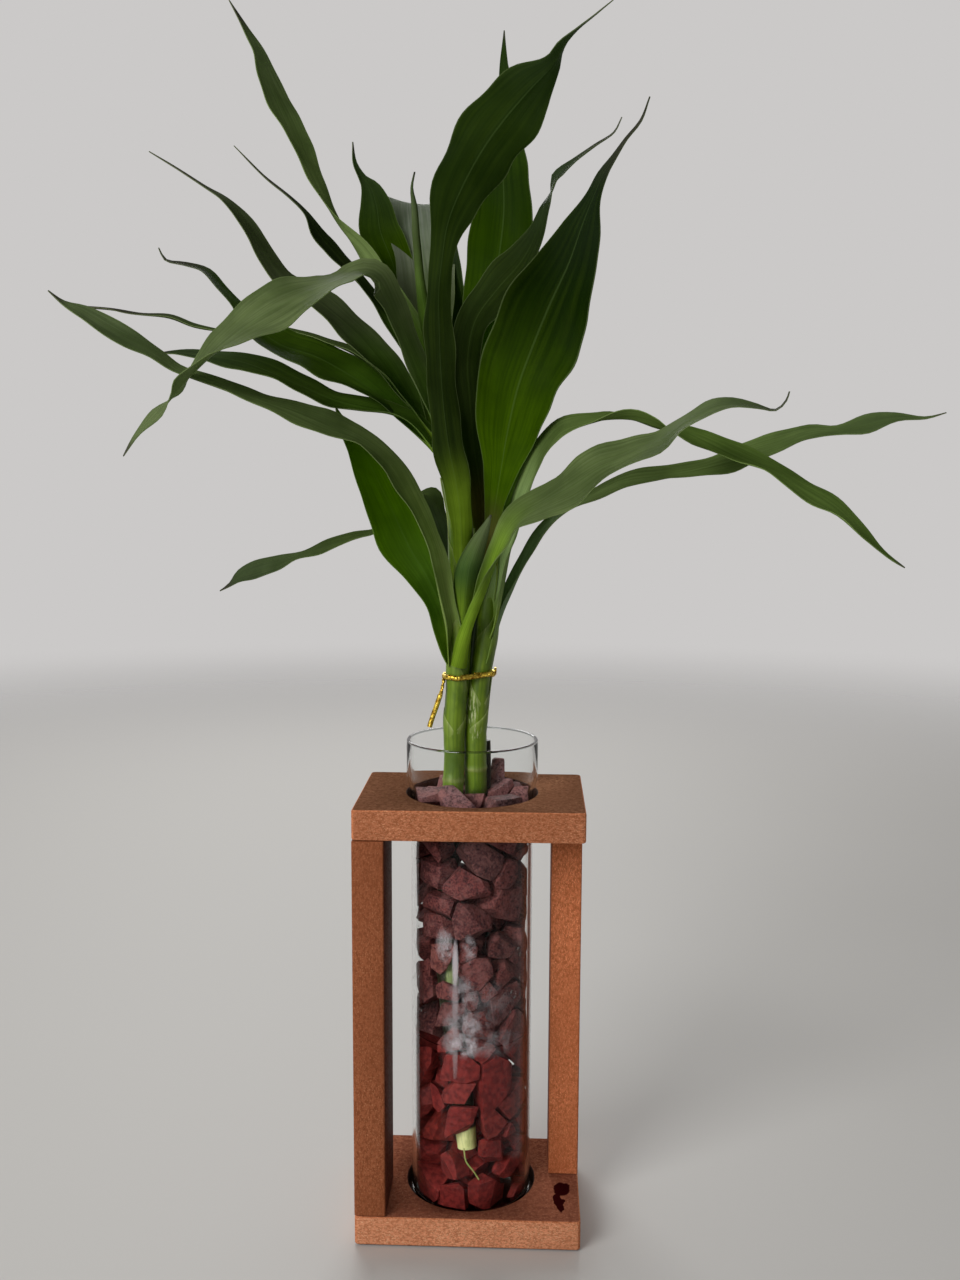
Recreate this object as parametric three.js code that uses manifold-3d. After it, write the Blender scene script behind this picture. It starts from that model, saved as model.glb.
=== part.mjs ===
// Lucky bamboo: two leafy stalks in a gravel-filled glass tube, held upright by a small wooden stand.
// Millimetres, +Z up. The origin is the middle of the base board's underside.
import * as THREE from 'three';
import { mergeVertices } from 'three/addons/utils/BufferGeometryUtils.js';
import Module from 'manifold-3d';

const wasm = await Module();
wasm.setup();

// Driving dimensions
const GAP = 0.3; // clearance between pieces that touch
const STAND = { width: 90, depth: 65, height: 178, board: 12, corner: 1.5, ease: 0.8 };
const POST = { width: 12.5, depth: 30, corner: 0.8 };
const HOLE_RADIUS = 26.45; // hole in the top board and recess in the base board
const RECESS_DEPTH = 6;
const ROUND_SIDES = 36; // sides of the tube, its water and its holes
const TUBE = {
  radius: 24.7, wall: 1.5, floor: 2.2, foot: 4, lip: 0.4,
  collar: 26.5, shoulder: 176.5, collarFoot: 185, rim: 200,
};
const WATER_LEVEL = 78;
const WATER_FILM = 1.4;
const GRAVEL_TOP = 178;
const STONE = { rowPitch: 11.8, perRow: 11, groove: 2.8, unevenness: 1.1 };
// loose stones on top of the gravel, and the one that stands behind the canes
const CROWN = [[-14, -10], [-15, 3], [-10, 13], [1, 15], [12, 11], [16, -1], [12, -12], [0, -16], [10, 2],
  [0, -7]];
const CROWN_STONE = [5.6, 4.8, 3.6];
const STANDING_STONE = { middle: [9.5, 11.5, 182], size: [3, 2.6, 8.4] };
// gaps in the stones, where a cane shows, at [x, z]
const WINDOW = { size: 9, depth: 10, y: -21, places: [[-10, 104], [-1, 36]] };
const CANE_TOP = 200; // where the bare canes end and the green sheaths begin
const STALK_SIDES = 10;
const TIE = {
  height: 225.5, wire: 0.75, tail: 0.8, slope: 0.08,
  coil: { turns: 4, radius: 0.6, wire: 0.5, from: -1.9, sweep: 1.75 },
};
const BLADE = {
  edge: 0.7, rib: 1.1, ringEvery: 12.5, clasp: 150, claspFade: 22,
  channel: 28, centring: 0.45, wave: 0.055, waveLength: 46,
};

// Bare canes: points on the axis, and the radius. The left one leans forward, so that its cut end shows.
const CANE_LEFT = {
  radius: 4.2, axis: [[-0.8, -15.2, 34], [-2.4, -14.4, 50], [-5.6, -14, 78], [-8.4, -14.6, 100],
    [-9.2, -11.5, 125], [-9, -7, 150], [-7.2, -2, 190], [-7.2, -2, CANE_TOP]],
};
const CANE_RIGHT = {
  radius: 4.5, axis: [[5, 6, 34], [4, 6, 90], [2.2, 3.5, 150], [1.2, 2, 190], [1.2, 2, CANE_TOP]],
};
const CANE_NODE = { pitch: 26, width: 1.6, height: 0.35 };
const CANE_CLEARANCE = 0.45; // between a cane and the stones round it

// Sheathed stalks above the canes: points on the axis, each with the radius there.
const STALK_LEFT = [[-7.2, -2, CANE_TOP + GAP, 4.2], [-7.2, -2, 205, 4.3], [-5.8, -1.8, TIE.height, 4.5],
  [-5.3, -2, 240, 4.7], [-4.6, -3, 256, 5], [-4.2, -3, 272, 5.1], [-5, -3, 288, 4.8], [-8, -2, 303, 4.3],
  [-11, -1, 319, 3.6], [-14, 0, 338, 2.4]];
const STALK_RIGHT = [[1.2, 2, CANE_TOP + GAP, 4.5], [1.2, 2, 205, 4.5], [3.1, 1.8, TIE.height, 4.3],
  [5.2, 2, 240, 4.5], [6, 2.5, 256, 4.3], [6, 2.5, 272, 3.8], [6, 2.5, 285, 2.6]];

// Leaves. A station is [x, y, z, width, turn]: a point on the midrib, the blade's width there, and its
// turn about the midrib, in degrees. At 0 the upper face looks along -Y, and at 90 the blade is edge-on.
const LEAVES_LEFT = {
  tallThin: { stations: [[-13, 1, 320, 10, -110], [-14, 4, 334, 10, -120], [-22, 8, 360, 12, -120],
    [-33, 12, 377, 14, -120], [-45, 16, 393, 12, -120], [-55, 20, 405, 10, -95],
    [-64.5, 25, 422, 13, -68], [-73.5, 30, 440, 16, -64], [-84, 36, 462, 17, -64],
    [-91, 41, 477, 11, -68], [-98, 45, 490, 4, -68], [-104, 48, 500, 1.3, -68]] },
  upperDark: { stations: [[-11, 0, 314, 10, -75], [-16, 2, 322, 11, -70], [-24, 6, 333, 14, -66],
    [-34, 10, 346, 19, -62], [-45, 14, 359, 22, -62], [-60, 18, 372, 22, -62], [-78, 22, 384, 16, -66],
    [-90, 27, 400, 14, -66], [-99, 31, 412, 10, -68], [-105, 34, 418, 5, -68], [-113, 36, 423, 3, -68],
    [-124, 38, 430, 2, -68], [-137, 40, 438, 1.2, -68]] },
  upperThread: { stations: [[-12, 2, 320, 8, -68], [-16, 8, 335, 8, -68], [-29, 18, 357, 10, -68],
    [-42, 28, 376, 11, -70], [-52, 34, 388, 12, -72], [-59, 38, 396, 14, -68], [-66, 41, 404, 14, -66],
    [-73, 45, 414, 5, -70], [-80, 48, 421, 3, -70], [-92, 52, 431, 2, -70], [-105, 56, 444, 1.2, -70]] },
  bigArched: { stations: [[-8.5, -3, 302, 11, -60], [-11, -6, 313, 11, -60], [-16, -8, 334, 13, -60],
    [-24, -12, 354, 16, -60], [-31, -17, 370, 18, -62], [-35.5, -22, 378, 20, -64],
    [-41, -27, 379, 21, -66], [-49, -33, 375, 25, -60], [-60, -41, 369, 27, -50],
    [-72, -49, 361, 27, -45], [-84, -56, 351, 23, -52], [-93, -60, 342, 17, -75],
    [-99, -62, 335, 10, -105], [-101, -63, 332, 7, -90], [-106, -65, 326, 8, -50],
    [-112, -67, 319, 6, -55], [-117, -69, 311, 1.2, -60]] },
  farLeft: { stations: [[-6.5, -3.5, 231, 12, -20], [-8, -8, 246, 13, -30], [-10, -11, 258, 14, -40],
    [-14, -16, 277, 14, -60], [-21, -21, 294, 15, -66], [-30, -27, 310, 18, -70],
    [-40, -32, 318, 21, -70], [-52, -38, 323, 21, -69], [-64, -43, 328, 18, -70],
    [-76, -48, 332, 15, -70], [-87, -51, 336, 12, -72], [-95, -53, 339, 10, -76],
    [-102, -54, 342, 10, -76], [-109, -55, 347, 10, -70], [-117, -56, 351, 13, -58],
    [-126, -57, 356, 12, -60], [-134, -58, 361, 8, -62], [-140, -58, 364, 3, -65],
    [-145, -58, 368, 1.2, -65]] },
  longThin: { stations: [[-11, 1, 314, 9, -75], [-17, 11, 324, 9, -75], [-28, 16, 335, 11, -78],
    [-42, 22, 349, 12, -79], [-54, 28, 357, 12, -79], [-67, 33, 362, 12, -79], [-82, 38, 365, 12, -79],
    [-97, 42, 365, 12, -80], [-110, 45, 366, 11, -79], [-122, 48, 368, 9, -78], [-133, 50, 372, 8, -80],
    [-149, 53, 374, 7, -78], [-160, 55, 376, 6, -76], [-172, 56, 377, 3, -76],
    [-182, 57, 379, 1.2, -76]] },
  midBroad: { stations: [[-9, -2, 307, 11, -60], [-15, 0, 316, 11, -60], [-27, 6, 328, 13, -58],
    [-38, 10, 337, 17, -56], [-50, 14, 345, 22, -55], [-65, 18, 353, 24, -55], [-80, 22, 358, 22, -56],
    [-91, 25, 366, 15, -60], [-98, 27, 374, 7, -60], [-105, 28, 381, 7, -62], [-112, 30, 388, 7, -66],
    [-121, 31, 391, 4, -66], [-129, 32, 393, 2, -66], [-132, 33, 398, 1.2, -66]] },
  lowerMid: { stations: [[-9, -2, 305, 11, -66], [-14, -3, 315, 11, -66], [-23, 0, 326, 13, -66],
    [-33, 3, 330, 14, -68], [-44, 5, 332, 16, -68], [-56, 8, 335, 17, -68], [-68, 11, 340, 18, -65],
    [-82, 14, 346, 18, -67], [-93, 16, 350, 18, -65], [-103, 17, 352, 15, -65], [-112, 18, 353, 12, -65],
    [-121, 19, 354, 6, -65], [-130, 20, 354, 1.2, -65]] },
  lowBroad: { stations: [[-6.5, -3, 232, 12, -20], [-9, -6, 243, 14, -25], [-12, -7, 254, 16, -30],
    [-17, -8, 265, 19, -35], [-24, -9, 277, 23, -35], [-30, -10, 290, 25, -35], [-36, -12, 303, 22, -36],
    [-42, -15, 315, 14, -40], [-48, -17, 323, 6, -45], [-51, -19, 330, 1.5, -45]] },
  lowBack: { stations: [[-5, 0.5, 246, 10, -20], [-7, 6, 257, 11, -25], [-10, 14, 273, 12, -40],
    [-16, 24, 289, 14, -60], [-21, 34, 297, 14, -75], [-32, 46, 292, 13, -95], [-45, 55, 281, 12, -80],
    [-57, 60, 277, 12, -72], [-69, 64, 273, 11, -64], [-82, 67, 269, 9, -72], [-92, 69, 265, 10, -45],
    [-102, 71, 262, 10, -35], [-110, 73, 259, 7, -40], [-115, 74, 255, 3, -50],
    [-120, 75, 252, 1.2, -50]] },
  centreTall: { stations: [[-4, -6, 264, 11, 180], [-4, -9, 280, 12, 180], [-5, -12, 296, 12, 180],
    [-9, -15, 318, 12, 180], [-11, -18, 337, 11, 178], [-12, -20, 359, 11, 176], [-12, -22, 373, 9, 176],
    [-10.5, -24, 385, 9, 174], [-9, -26, 394, 12, 170], [-6.5, -28, 401, 17, 168],
    [-2, -30, 410, 22, 166], [4.8, -34, 420.5, 24, 164], [12, -36, 429.5, 24, 162],
    [21.5, -40, 439, 18.5, 158], [29, -43.5, 446, 9, 130], [32, -45, 451, 8, 100], [37, -47, 456, 6, 75],
    [43, -49, 460, 4, 75], [49, -51, 464, 1.5, 75]] },
  spear: { channel: 190, stations: [[-12, -1, 326, 9, 180], [-15, -2, 336, 11, 180],
    [-17, 0, 357, 12, 180], [-21, 4, 379, 10, 180], [-23, 8, 396, 6, 180], [-24, 11, 410, 3, 180],
    [-25, 12, 417, 1.6, 180], [-24, 13, 423, 1.2, 180]] },
  backFolded: { facing: [-1, 0, 0], stations: [[-12, 1, 316, 11, -90], [-14.5, 9, 330, 12, -90],
    [-17.5, 18, 352, 16, -90], [-20, 29, 378, 22, -90], [-24, 44, 402, 26, -90], [-27, 60, 418, 27, -90],
    [-29, 76, 424, 26, -90], [-31, 94, 416, 23, -90], [-33, 109, 399, 18, -90], [-34, 120, 376, 11, -90],
    [-35, 127, 352, 4, -90], [-35, 130, 340, 1.2, -90]] },
  uprightSmall: { stations: [[-12, 1, 315, 10, -30], [-15, 9, 326, 10, -30], [-19, 17, 343, 12, -28],
    [-25, 24, 364, 14, -26], [-31, 31, 380, 16, -25], [-36, 37, 394, 18, -25], [-41, 42, 406, 18, -25],
    [-43, 46, 417, 14, -25], [-46, 49, 425, 9, -30], [-50, 51, 430, 5, -50], [-53, 53, 436, 2.5, -50],
    [-54, 55, 445, 1.2, -50]] },
  centreDark: { stations: [[-10, 0, 306, 9, 0], [-11, 12, 317, 9, 0], [-11.5, 22, 335, 12, 0],
    [-11.5, 29, 355, 14, 0], [-11.5, 33, 373, 15, 0], [-13, 36, 388, 13, 0], [-13, 40, 401, 8, 0],
    [-11, 44, 412, 1.5, 0]] },
  clasping: { channel: 70, stations: [[-4, -5.5, 240, 8, 150], [-3.5, -8, 252, 10, 165],
    [-2.5, -10, 262, 12, 175], [-1, -11.5, 270, 12, 180], [2, -12.5, 279, 9, 180], [5, -13, 287, 5, 180],
    [7.5, -13.5, 294, 1.3, 180]] },
  frontLight: { stations: [[-4, -4.5, 230, 9, 60], [-1, -9, 246, 8, 60], [4.6, -17, 263, 8, 60],
    [10.4, -24, 278, 10.5, 60], [17.5, -32, 289, 18, 60], [28, -40, 296, 23, 62], [38, -46, 302, 25, 60],
    [47, -51, 308, 24, 61], [54, -54, 311, 21, 62], [60, -57, 314, 20, 64], [67, -60, 317, 16, 66],
    [73, -63, 322, 12, 74], [78, -65, 325, 10, 72], [84, -67, 328, 9, 58], [90, -68, 329, 8, 62],
    [98, -70, 328, 5, 65], [104, -71, 327, 2, 70], [107, -72, 330, 1.5, 70], [108, -72, 333, 1.2, 70]] },
};
const LEAVES_RIGHT = {
  centreBacklit: { stations: [[5.5, 4.5, 274, 9, 15], [4, 8, 290, 10, 15], [2, 12, 307, 12, 15],
    [3, 16, 327, 15, 15], [4, 21, 351, 20, 15], [6, 26, 376, 24, 15], [9, 30, 396, 27, 15],
    [10.5, 33, 412, 26, 15], [10, 36, 431, 20, 15], [10.5, 39, 447, 13, 12], [11, 41, 462, 7, 10],
    [10, 43, 472, 3.5, 10], [10, 45, 486, 1.2, 10]] },
  rightMedium: { stations: [[5, 2, 268, 9, 20], [3.5, 3, 284, 11, 25], [3, 4, 295, 12, 30],
    [0, 6, 315, 12, 35], [-2, 8, 335, 13, 40], [-3, 9, 350, 17, 42], [0, 10, 366, 22, 45],
    [8.5, 11, 378, 24, 47], [18, 12, 389, 22, 50], [24, 13, 400, 15, 56], [27, 14, 410, 10, 66],
    [30, 15, 417, 8, 88], [32, 16, 422, 8, 60], [39, 17, 428, 5, 65], [47, 18, 434, 4, 66],
    [54, 19, 439, 2, 66], [57, 20, 445, 1.2, 66]] },
  rightLarge: { stations: [[6.5, 0, 256, 8, 15], [7, -3, 272, 7, 15], [8, -6, 287, 7, 15],
    [11, -10, 307, 14, 15], [13.5, -12, 322, 25, 15], [17.5, -15, 339, 33, 15], [23, -16, 354, 35, 15],
    [29, -17, 368.5, 33.5, 16], [36, -18, 383.5, 24.5, 18], [40.5, -19, 396, 15, 20], [44.5, -20, 406, 7, 30],
    [48, -21, 414, 5, 40], [52, -22, 420, 3, 40], [56, -23, 426, 1.6, 40], [61, -24, 432, 1.4, 40],
    [64, -25, 440, 1.2, 40]] },
  rightArched: { stations: [[5.5, -0.5, 242, 9, 40], [8, -2.5, 252, 11, 45], [10, -4, 260, 11, 50],
    [13, -7, 274, 12, 60], [17, -11, 291, 13, 64], [22, -15, 304, 14, 66], [27, -18, 315, 17, 66],
    [34, -22, 323, 18, 68], [47, -27, 326, 17, 79], [60, -32, 326, 14, 100], [70, -35, 323, 14, 95],
    [76, -37, 322, 17, 72], [83, -39, 319, 18, 68], [97, -43, 312, 19, 67], [109, -47, 307, 19, 68],
    [120, -51, 300, 19, 65], [129, -54, 294, 17, 68], [138, -57, 285, 12, 66], [146, -59, 278, 5, 66],
    [152, -60, 274, 1.2, 66]] },
  rightLong: { stations: [[4.5, 1, 231, 8, 50], [8, 0.5, 243, 9, 55], [11, 0, 252, 9, 62],
    [14, -1, 259, 9, 66], [20, -3, 272, 9, 68], [27, -5, 283, 10, 70], [35, -8, 291, 11, 74],
    [45, -11, 297, 13, 74], [58, -14, 303, 15, 72], [71, -17, 305, 17, 72], [86, -20, 308, 19, 71],
    [100, -23, 312, 20, 69], [112, -26, 316, 19, 70], [125, -28, 321, 17, 70], [134, -30, 322, 13, 74],
    [144, -32, 324, 13, 63], [154, -34, 326, 8, 66], [164, -35, 326, 3, 70], [171, -36, 328, 1.2, 70]] },
  rightBack: { stations: [[6, 4, 268, 8, 10], [7.5, 7, 278, 9, 10], [10, 11, 289, 12, 10],
    [14, 18, 300, 15, 10], [17, 27, 311, 15, 10], [18, 40, 324, 12, 10], [18, 54, 337, 8, 10],
    [20, 68, 353, 1.5, 10]] },
};

// Solids: joining and cutting
function weld(geometry) {
  const bare = geometry.clone();
  bare.deleteAttribute('normal');
  bare.deleteAttribute('uv');
  return mergeVertices(bare, 1e-4);
}

function toSolid(geometry) {
  const welded = weld(geometry);
  return new wasm.Manifold(new wasm.Mesh({
    numProp: 3,
    vertProperties: new Float32Array(welded.attributes.position.array),
    triVerts: new Uint32Array(welded.index.array),
  }));
}

function toGeometry(solid) {
  const mesh = solid.getMesh();
  const geometry = new THREE.BufferGeometry();
  geometry.setAttribute('position', new THREE.BufferAttribute(new Float32Array(mesh.vertProperties), 3));
  geometry.setIndex(new THREE.BufferAttribute(new Uint32Array(mesh.triVerts), 1));
  geometry.computeVertexNormals();
  return geometry;
}

const fuse = (solids) => solids.reduce((sum, solid) => sum.add(solid));

// The largest body of a cut solid, without the crumbs that a cut may leave.
function mainBody(solid) {
  return solid.decompose().reduce((best, body) => (body.volume() > best.volume() ? body : best));
}

// A seeded draw between 0 and 1.
function makeDraw(seed) {
  let state = seed;
  return () => {
    state = (state * 1664525 + 1013904223) % 4294967296;
    return state / 4294967296;
  };
}

// A closed skin over rings of points. Each ring has the same even number of points; the second half of a
// ring lies under the first, so the quads of both halves are split alike.
function loft(rings) {
  const count = rings[0].length;
  const half = count / 2;
  const index = [];
  for (let i = 0; i + 1 < rings.length; i += 1) {
    for (let k = 0; k < count; k += 1) {
      const a = i * count + k;
      const b = i * count + ((k + 1) % count);
      const c = a + count;
      const d = b + count;
      if (k < half) index.push(a, b, d, a, d, c);
      else index.push(a, b, c, b, d, c);
    }
  }
  const last = (rings.length - 1) * count;
  for (let k = 0; k + 1 < half; k += 1) {
    const under = count - 1 - k;
    index.push(k, under, under - 1, k, under - 1, k + 1);
    index.push(last + k, last + under - 1, last + under, last + k, last + k + 1, last + under - 1);
  }
  const geometry = new THREE.BufferGeometry();
  const places = rings.flat().flatMap((point) => point.toArray());
  geometry.setAttribute('position', new THREE.Float32BufferAttribute(places, 3));
  geometry.setIndex(index);
  return geometry;
}

const vector = ([x, y, z]) => new THREE.Vector3(x, y, z);
const degrees = THREE.MathUtils.degToRad;

// A round rod along a curve, through places [t, radius].
function rod(axis, sides, places) {
  const rings = places.map(([t, radius]) => {
    const along = axis.getTangent(t);
    const side = new THREE.Vector3(0, 1, 0).cross(along).normalize();
    const front = along.clone().cross(side);
    return Array.from({ length: sides }, (_, k) => {
      const angle = (2 * Math.PI * k) / sides;
      return axis.getPoint(t)
        .addScaledVector(side, radius * Math.cos(angle))
        .addScaledVector(front, radius * Math.sin(angle));
    });
  });
  return toSolid(loft(rings));
}

// A sheathed stalk through points [x, y, z, radius].
function sheathedStalk(points) {
  const steps = 2 * (points.length - 1);
  const places = Array.from({ length: steps + 1 }, (_, i) => {
    const from = points[Math.floor(i / 2)];
    const to = points[Math.ceil(i / 2)];
    return [i / steps, (from[3] + to[3]) / 2];
  });
  return rod(new THREE.CatmullRomCurve3(points.map(vector)), STALK_SIDES, places);
}

// A leaf blade: clasping at its base, channelled along the midrib, with waved edges.
function blade({ stations, channel = BLADE.channel, facing = [0, -1, 0] }, waveStart) {
  const midrib = new THREE.CatmullRomCurve3(stations.map(vector), false, 'centripetal');
  // the width and the turn, as a curve of their own
  const sizes = stations.map(([, , , width, turn]) => new THREE.Vector3(width, turn, 0));
  const form = new THREE.CatmullRomCurve3(sizes, false, 'catmullrom', 0.5);
  const spans = stations.length - 1;
  const places = [0];
  for (let i = 0; i < spans; i += 1) {
    const length = vector(stations[i]).distanceTo(vector(stations[i + 1]));
    const pieces = Math.max(1, Math.round(length / BLADE.ringEvery));
    for (let k = 1; k <= pieces; k += 1) places.push((i + k / pieces) / spans);
  }
  const look = vector(facing);
  let travelled = 0;
  let previous = midrib.getPoint(0);
  const rings = places.map((t) => {
    const centre = midrib.getPoint(t);
    travelled += centre.distanceTo(previous);
    previous = centre;
    const { x: width, y: turn } = form.getPoint(t);
    const along = midrib.getTangent(t);
    const flat = along.clone().cross(look).normalize();
    const out = flat.clone().cross(along);
    const across = flat.multiplyScalar(Math.cos(degrees(turn))).addScaledVector(out, Math.sin(degrees(turn)));
    const up = across.clone().cross(along);
    const bend = degrees(channel + BLADE.clasp * Math.exp(-travelled / BLADE.claspFade));
    const radius = width / bend;
    const sink = BLADE.centring * radius * (1 - Math.cos(bend / 2));
    const top = [];
    const under = [];
    for (const side of [-1, 0, 1]) {
      const angle = (bend * side) / 2;
      const phase = (2 * Math.PI * travelled) / BLADE.waveLength + waveStart + side;
      const wave = side * BLADE.wave * width * Math.sin(phase);
      const skin = up.clone().multiplyScalar(Math.cos(angle)).addScaledVector(across, -Math.sin(angle));
      const point = centre.clone()
        .addScaledVector(across, radius * Math.sin(angle))
        .addScaledVector(up, radius * (1 - Math.cos(angle)) - sink)
        .addScaledVector(skin, wave);
      const thick = side === 0 ? Math.min(BLADE.rib, Math.max(BLADE.edge, width / 8)) : BLADE.edge;
      top.push(point.clone().addScaledVector(skin, thick / 2));
      under.unshift(point.clone().addScaledVector(skin, -thick / 2));
    }
    return [...under, ...top];
  });
  return toSolid(loft(rings));
}

function leafyShoot(stalk, leaves) {
  const blades = Object.values(leaves).map((leaf, number) => blade(leaf, number));
  return mainBody(fuse([sheathedStalk(stalk), ...blades]));
}

// Stand: boards with eased edges, and two posts
function roundedRectangle(width, depth, corner) {
  const centres = [[1, 1, 0], [-1, 1, 1], [-1, -1, 2], [1, -1, 3]];
  return new THREE.Shape(centres.flatMap(([sx, sy, quarter]) => [0, 1, 2].map((step) => {
    const angle = (Math.PI / 2) * (quarter + step / 2);
    const x = sx * (width / 2 - corner) + corner * Math.cos(angle);
    const y = sy * (depth / 2 - corner) + corner * Math.sin(angle);
    return new THREE.Vector2(x, y);
  })));
}

function board(holeRadius) {
  const shape = roundedRectangle(STAND.width, STAND.depth, STAND.corner);
  if (holeRadius) {
    const hole = new THREE.Path();
    hole.absarc(0, 0, holeRadius, 0, 2 * Math.PI, true);
    shape.holes.push(hole);
  }
  const geometry = new THREE.ExtrudeGeometry(shape, {
    depth: STAND.board - 2 * STAND.ease,
    bevelThickness: STAND.ease,
    bevelSize: STAND.ease,
    bevelOffset: -STAND.ease,
    bevelSegments: 2,
    curveSegments: ROUND_SIDES / 2,
  });
  return geometry.translate(0, 0, STAND.ease);
}

function baseBoard() {
  const recess = new THREE.CylinderGeometry(HOLE_RADIUS, HOLE_RADIUS, 2 * RECESS_DEPTH, ROUND_SIDES);
  recess.rotateX(Math.PI / 2).translate(0, 0, STAND.board);
  return toGeometry(toSolid(board(0)).subtract(toSolid(recess)));
}

function topBoard() {
  return board(HOLE_RADIUS).translate(0, 0, STAND.height - STAND.board);
}

function post(x, y) {
  const bottom = STAND.board + GAP;
  const length = STAND.height - 2 * STAND.board - 2 * GAP;
  const shape = roundedRectangle(POST.width, POST.depth, POST.corner);
  const geometry = new THREE.ExtrudeGeometry(shape, { depth: length, bevelEnabled: false });
  return geometry.translate(x, y, bottom);
}

// Glass tube, water and gravel
const TUBE_FOOT = STAND.board - RECESS_DEPTH + GAP;
const TUBE_FLOOR = TUBE_FOOT + TUBE.floor;
const BORE = TUBE.radius - TUBE.wall;

function turned(profile) {
  const points = profile.map(([r, z]) => new THREE.Vector2(r, z));
  return new THREE.LatheGeometry(points, ROUND_SIDES).rotateX(Math.PI / 2);
}

function glassTube() {
  const { radius, wall, foot, collar, shoulder, collarFoot, rim, lip } = TUBE;
  const footArc = (r, z, size) => [0, 1, 2].map((i) => {
    const angle = (Math.PI / 4) * i;
    return [r - size + size * Math.sin(angle), z + size - size * Math.cos(angle)];
  });
  const upper = (inset) => [[radius - inset, shoulder],
    [(radius + collar) / 2 - inset, (shoulder + collarFoot) / 2],
    [collar - inset, collarFoot], [collar - inset, rim - lip]];
  const outside = [[0, TUBE_FOOT], ...footArc(radius, TUBE_FOOT, foot), ...upper(0), [collar - lip, rim]];
  const inside = [[0, TUBE_FLOOR], ...footArc(BORE, TUBE_FLOOR, foot - wall), ...upper(wall),
    [collar - wall + lip, rim]];
  return turned([...outside, ...inside.reverse()]);
}

// The film of water between the stones and the glass, with the pool under the stones.
const WATER_RADIUS = BORE - GAP;
const GRAVEL_RADIUS_WET = WATER_RADIUS - WATER_FILM - GAP - 0.1;
const GRAVEL_RADIUS_DRY = BORE - GAP - 0.1;
const GRAVEL_BOTTOM = TUBE_FLOOR + GAP + 1.4;

function water() {
  const floor = TUBE_FLOOR + GAP;
  const inner = WATER_RADIUS - WATER_FILM;
  // the water's lower edges follow the tube's rounded foot
  const outside = [[0, floor], [WATER_RADIUS - 3, floor], [WATER_RADIUS - 0.8, floor + 1.4],
    [WATER_RADIUS, floor + 3.6]];
  const inside = [[inner, floor + 4], [inner - 1, floor + 1.8], [inner - 3, GRAVEL_BOTTOM - GAP],
    [0, GRAVEL_BOTTOM - GAP]];
  return turned([...outside, [WATER_RADIUS, WATER_LEVEL], [inner, WATER_LEVEL], ...inside]);
}

// The widest that a stone may reach from the middle of the tube, at a height.
function stoneLimit(z) {
  if (z > WATER_LEVEL + STONE.rowPitch / 2) return GRAVEL_RADIUS_DRY;
  return Math.min(GRAVEL_RADIUS_WET, GRAVEL_RADIUS_WET - 3 + (z - GRAVEL_BOTTOM));
}

// One angular stone: a block with uneven corners, its outer face pressed against the glass.
function stone(centre, size, spin, draw) {
  const bare = weld(new THREE.BoxGeometry(2, 2, 2));
  const outward = Math.atan2(centre.y, centre.x);
  const corners = bare.attributes.position;
  for (let i = 0; i < corners.count; i += 1) {
    const corner = new THREE.Vector3().fromBufferAttribute(corners, i);
    corner.multiply(size).multiplyScalar(0.78 + 0.3 * draw()).applyEuler(spin);
    corner.applyAxisAngle(new THREE.Vector3(0, 0, 1), outward - Math.PI / 2).add(centre);
    const shrink = Math.min(1, stoneLimit(corner.z) / Math.hypot(corner.x, corner.y));
    corners.setXYZ(i, corner.x * shrink, corner.y * shrink, Math.max(corner.z, GRAVEL_BOTTOM));
  }
  return toSolid(bare);
}

// Stones packed behind the glass: rows of uneven angular faces, with grooves between them.
function packedStones(draw) {
  const height = GRAVEL_TOP - GRAVEL_BOTTOM;
  const rows = Math.round(height / STONE.rowPitch);
  const pitch = height / rows;
  const ring = (row, share, faces) => {
    const z = GRAVEL_BOTTOM + pitch * (row + share);
    return Array.from({ length: 3 * STONE.perRow }, (_, k) => {
      const groove = k % 3 === 0;
      const place = Math.floor(k / 3) + 0.5 * (row % 2) + [0, 0.16, 0.84][k % 3] + 0.08 * (draw() - 0.5);
      const angle = (2 * Math.PI * place) / STONE.perRow;
      const level = faces ? z + 0.16 * pitch * (draw() - 0.5) : z;
      const reach = stoneLimit(level) - (faces && !groove ? STONE.unevenness * draw() : STONE.groove);
      return new THREE.Vector3(reach * Math.cos(angle), reach * Math.sin(angle), level);
    });
  };
  const rings = [];
  for (let row = 0; row < rows; row += 1) {
    rings.push(ring(row, 0, false), ring(row, 0.18, true), ring(row, 0.86, true));
  }
  return toSolid(loft([...rings, ring(rows, 0, false)]));
}

function gravel(holes) {
  const draw = makeDraw(7);
  const pieces = [packedStones(draw)];
  for (const [x, y] of CROWN) {
    const size = vector(CROWN_STONE).multiplyScalar(0.9 + 0.3 * draw());
    const centre = new THREE.Vector3(x, y, GRAVEL_TOP - 1 + 3 * draw());
    pieces.push(stone(centre, size, new THREE.Euler(draw() - 0.5, draw() - 0.5, 3 * draw()), draw));
  }
  const { middle, size: standing } = STANDING_STONE;
  pieces.push(stone(vector(middle), vector(standing), new THREE.Euler(0, 0.15, 0), draw));
  const { size, depth, y } = WINDOW;
  const windows = WINDOW.places.map(([x, z]) => new THREE.BoxGeometry(size, depth, size).translate(x, y, z));
  const cuts = [...holes, ...windows.map(toSolid)];
  return mainBody(cuts.reduce((rest, cut) => rest.subtract(cut), fuse(pieces)));
}

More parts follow.
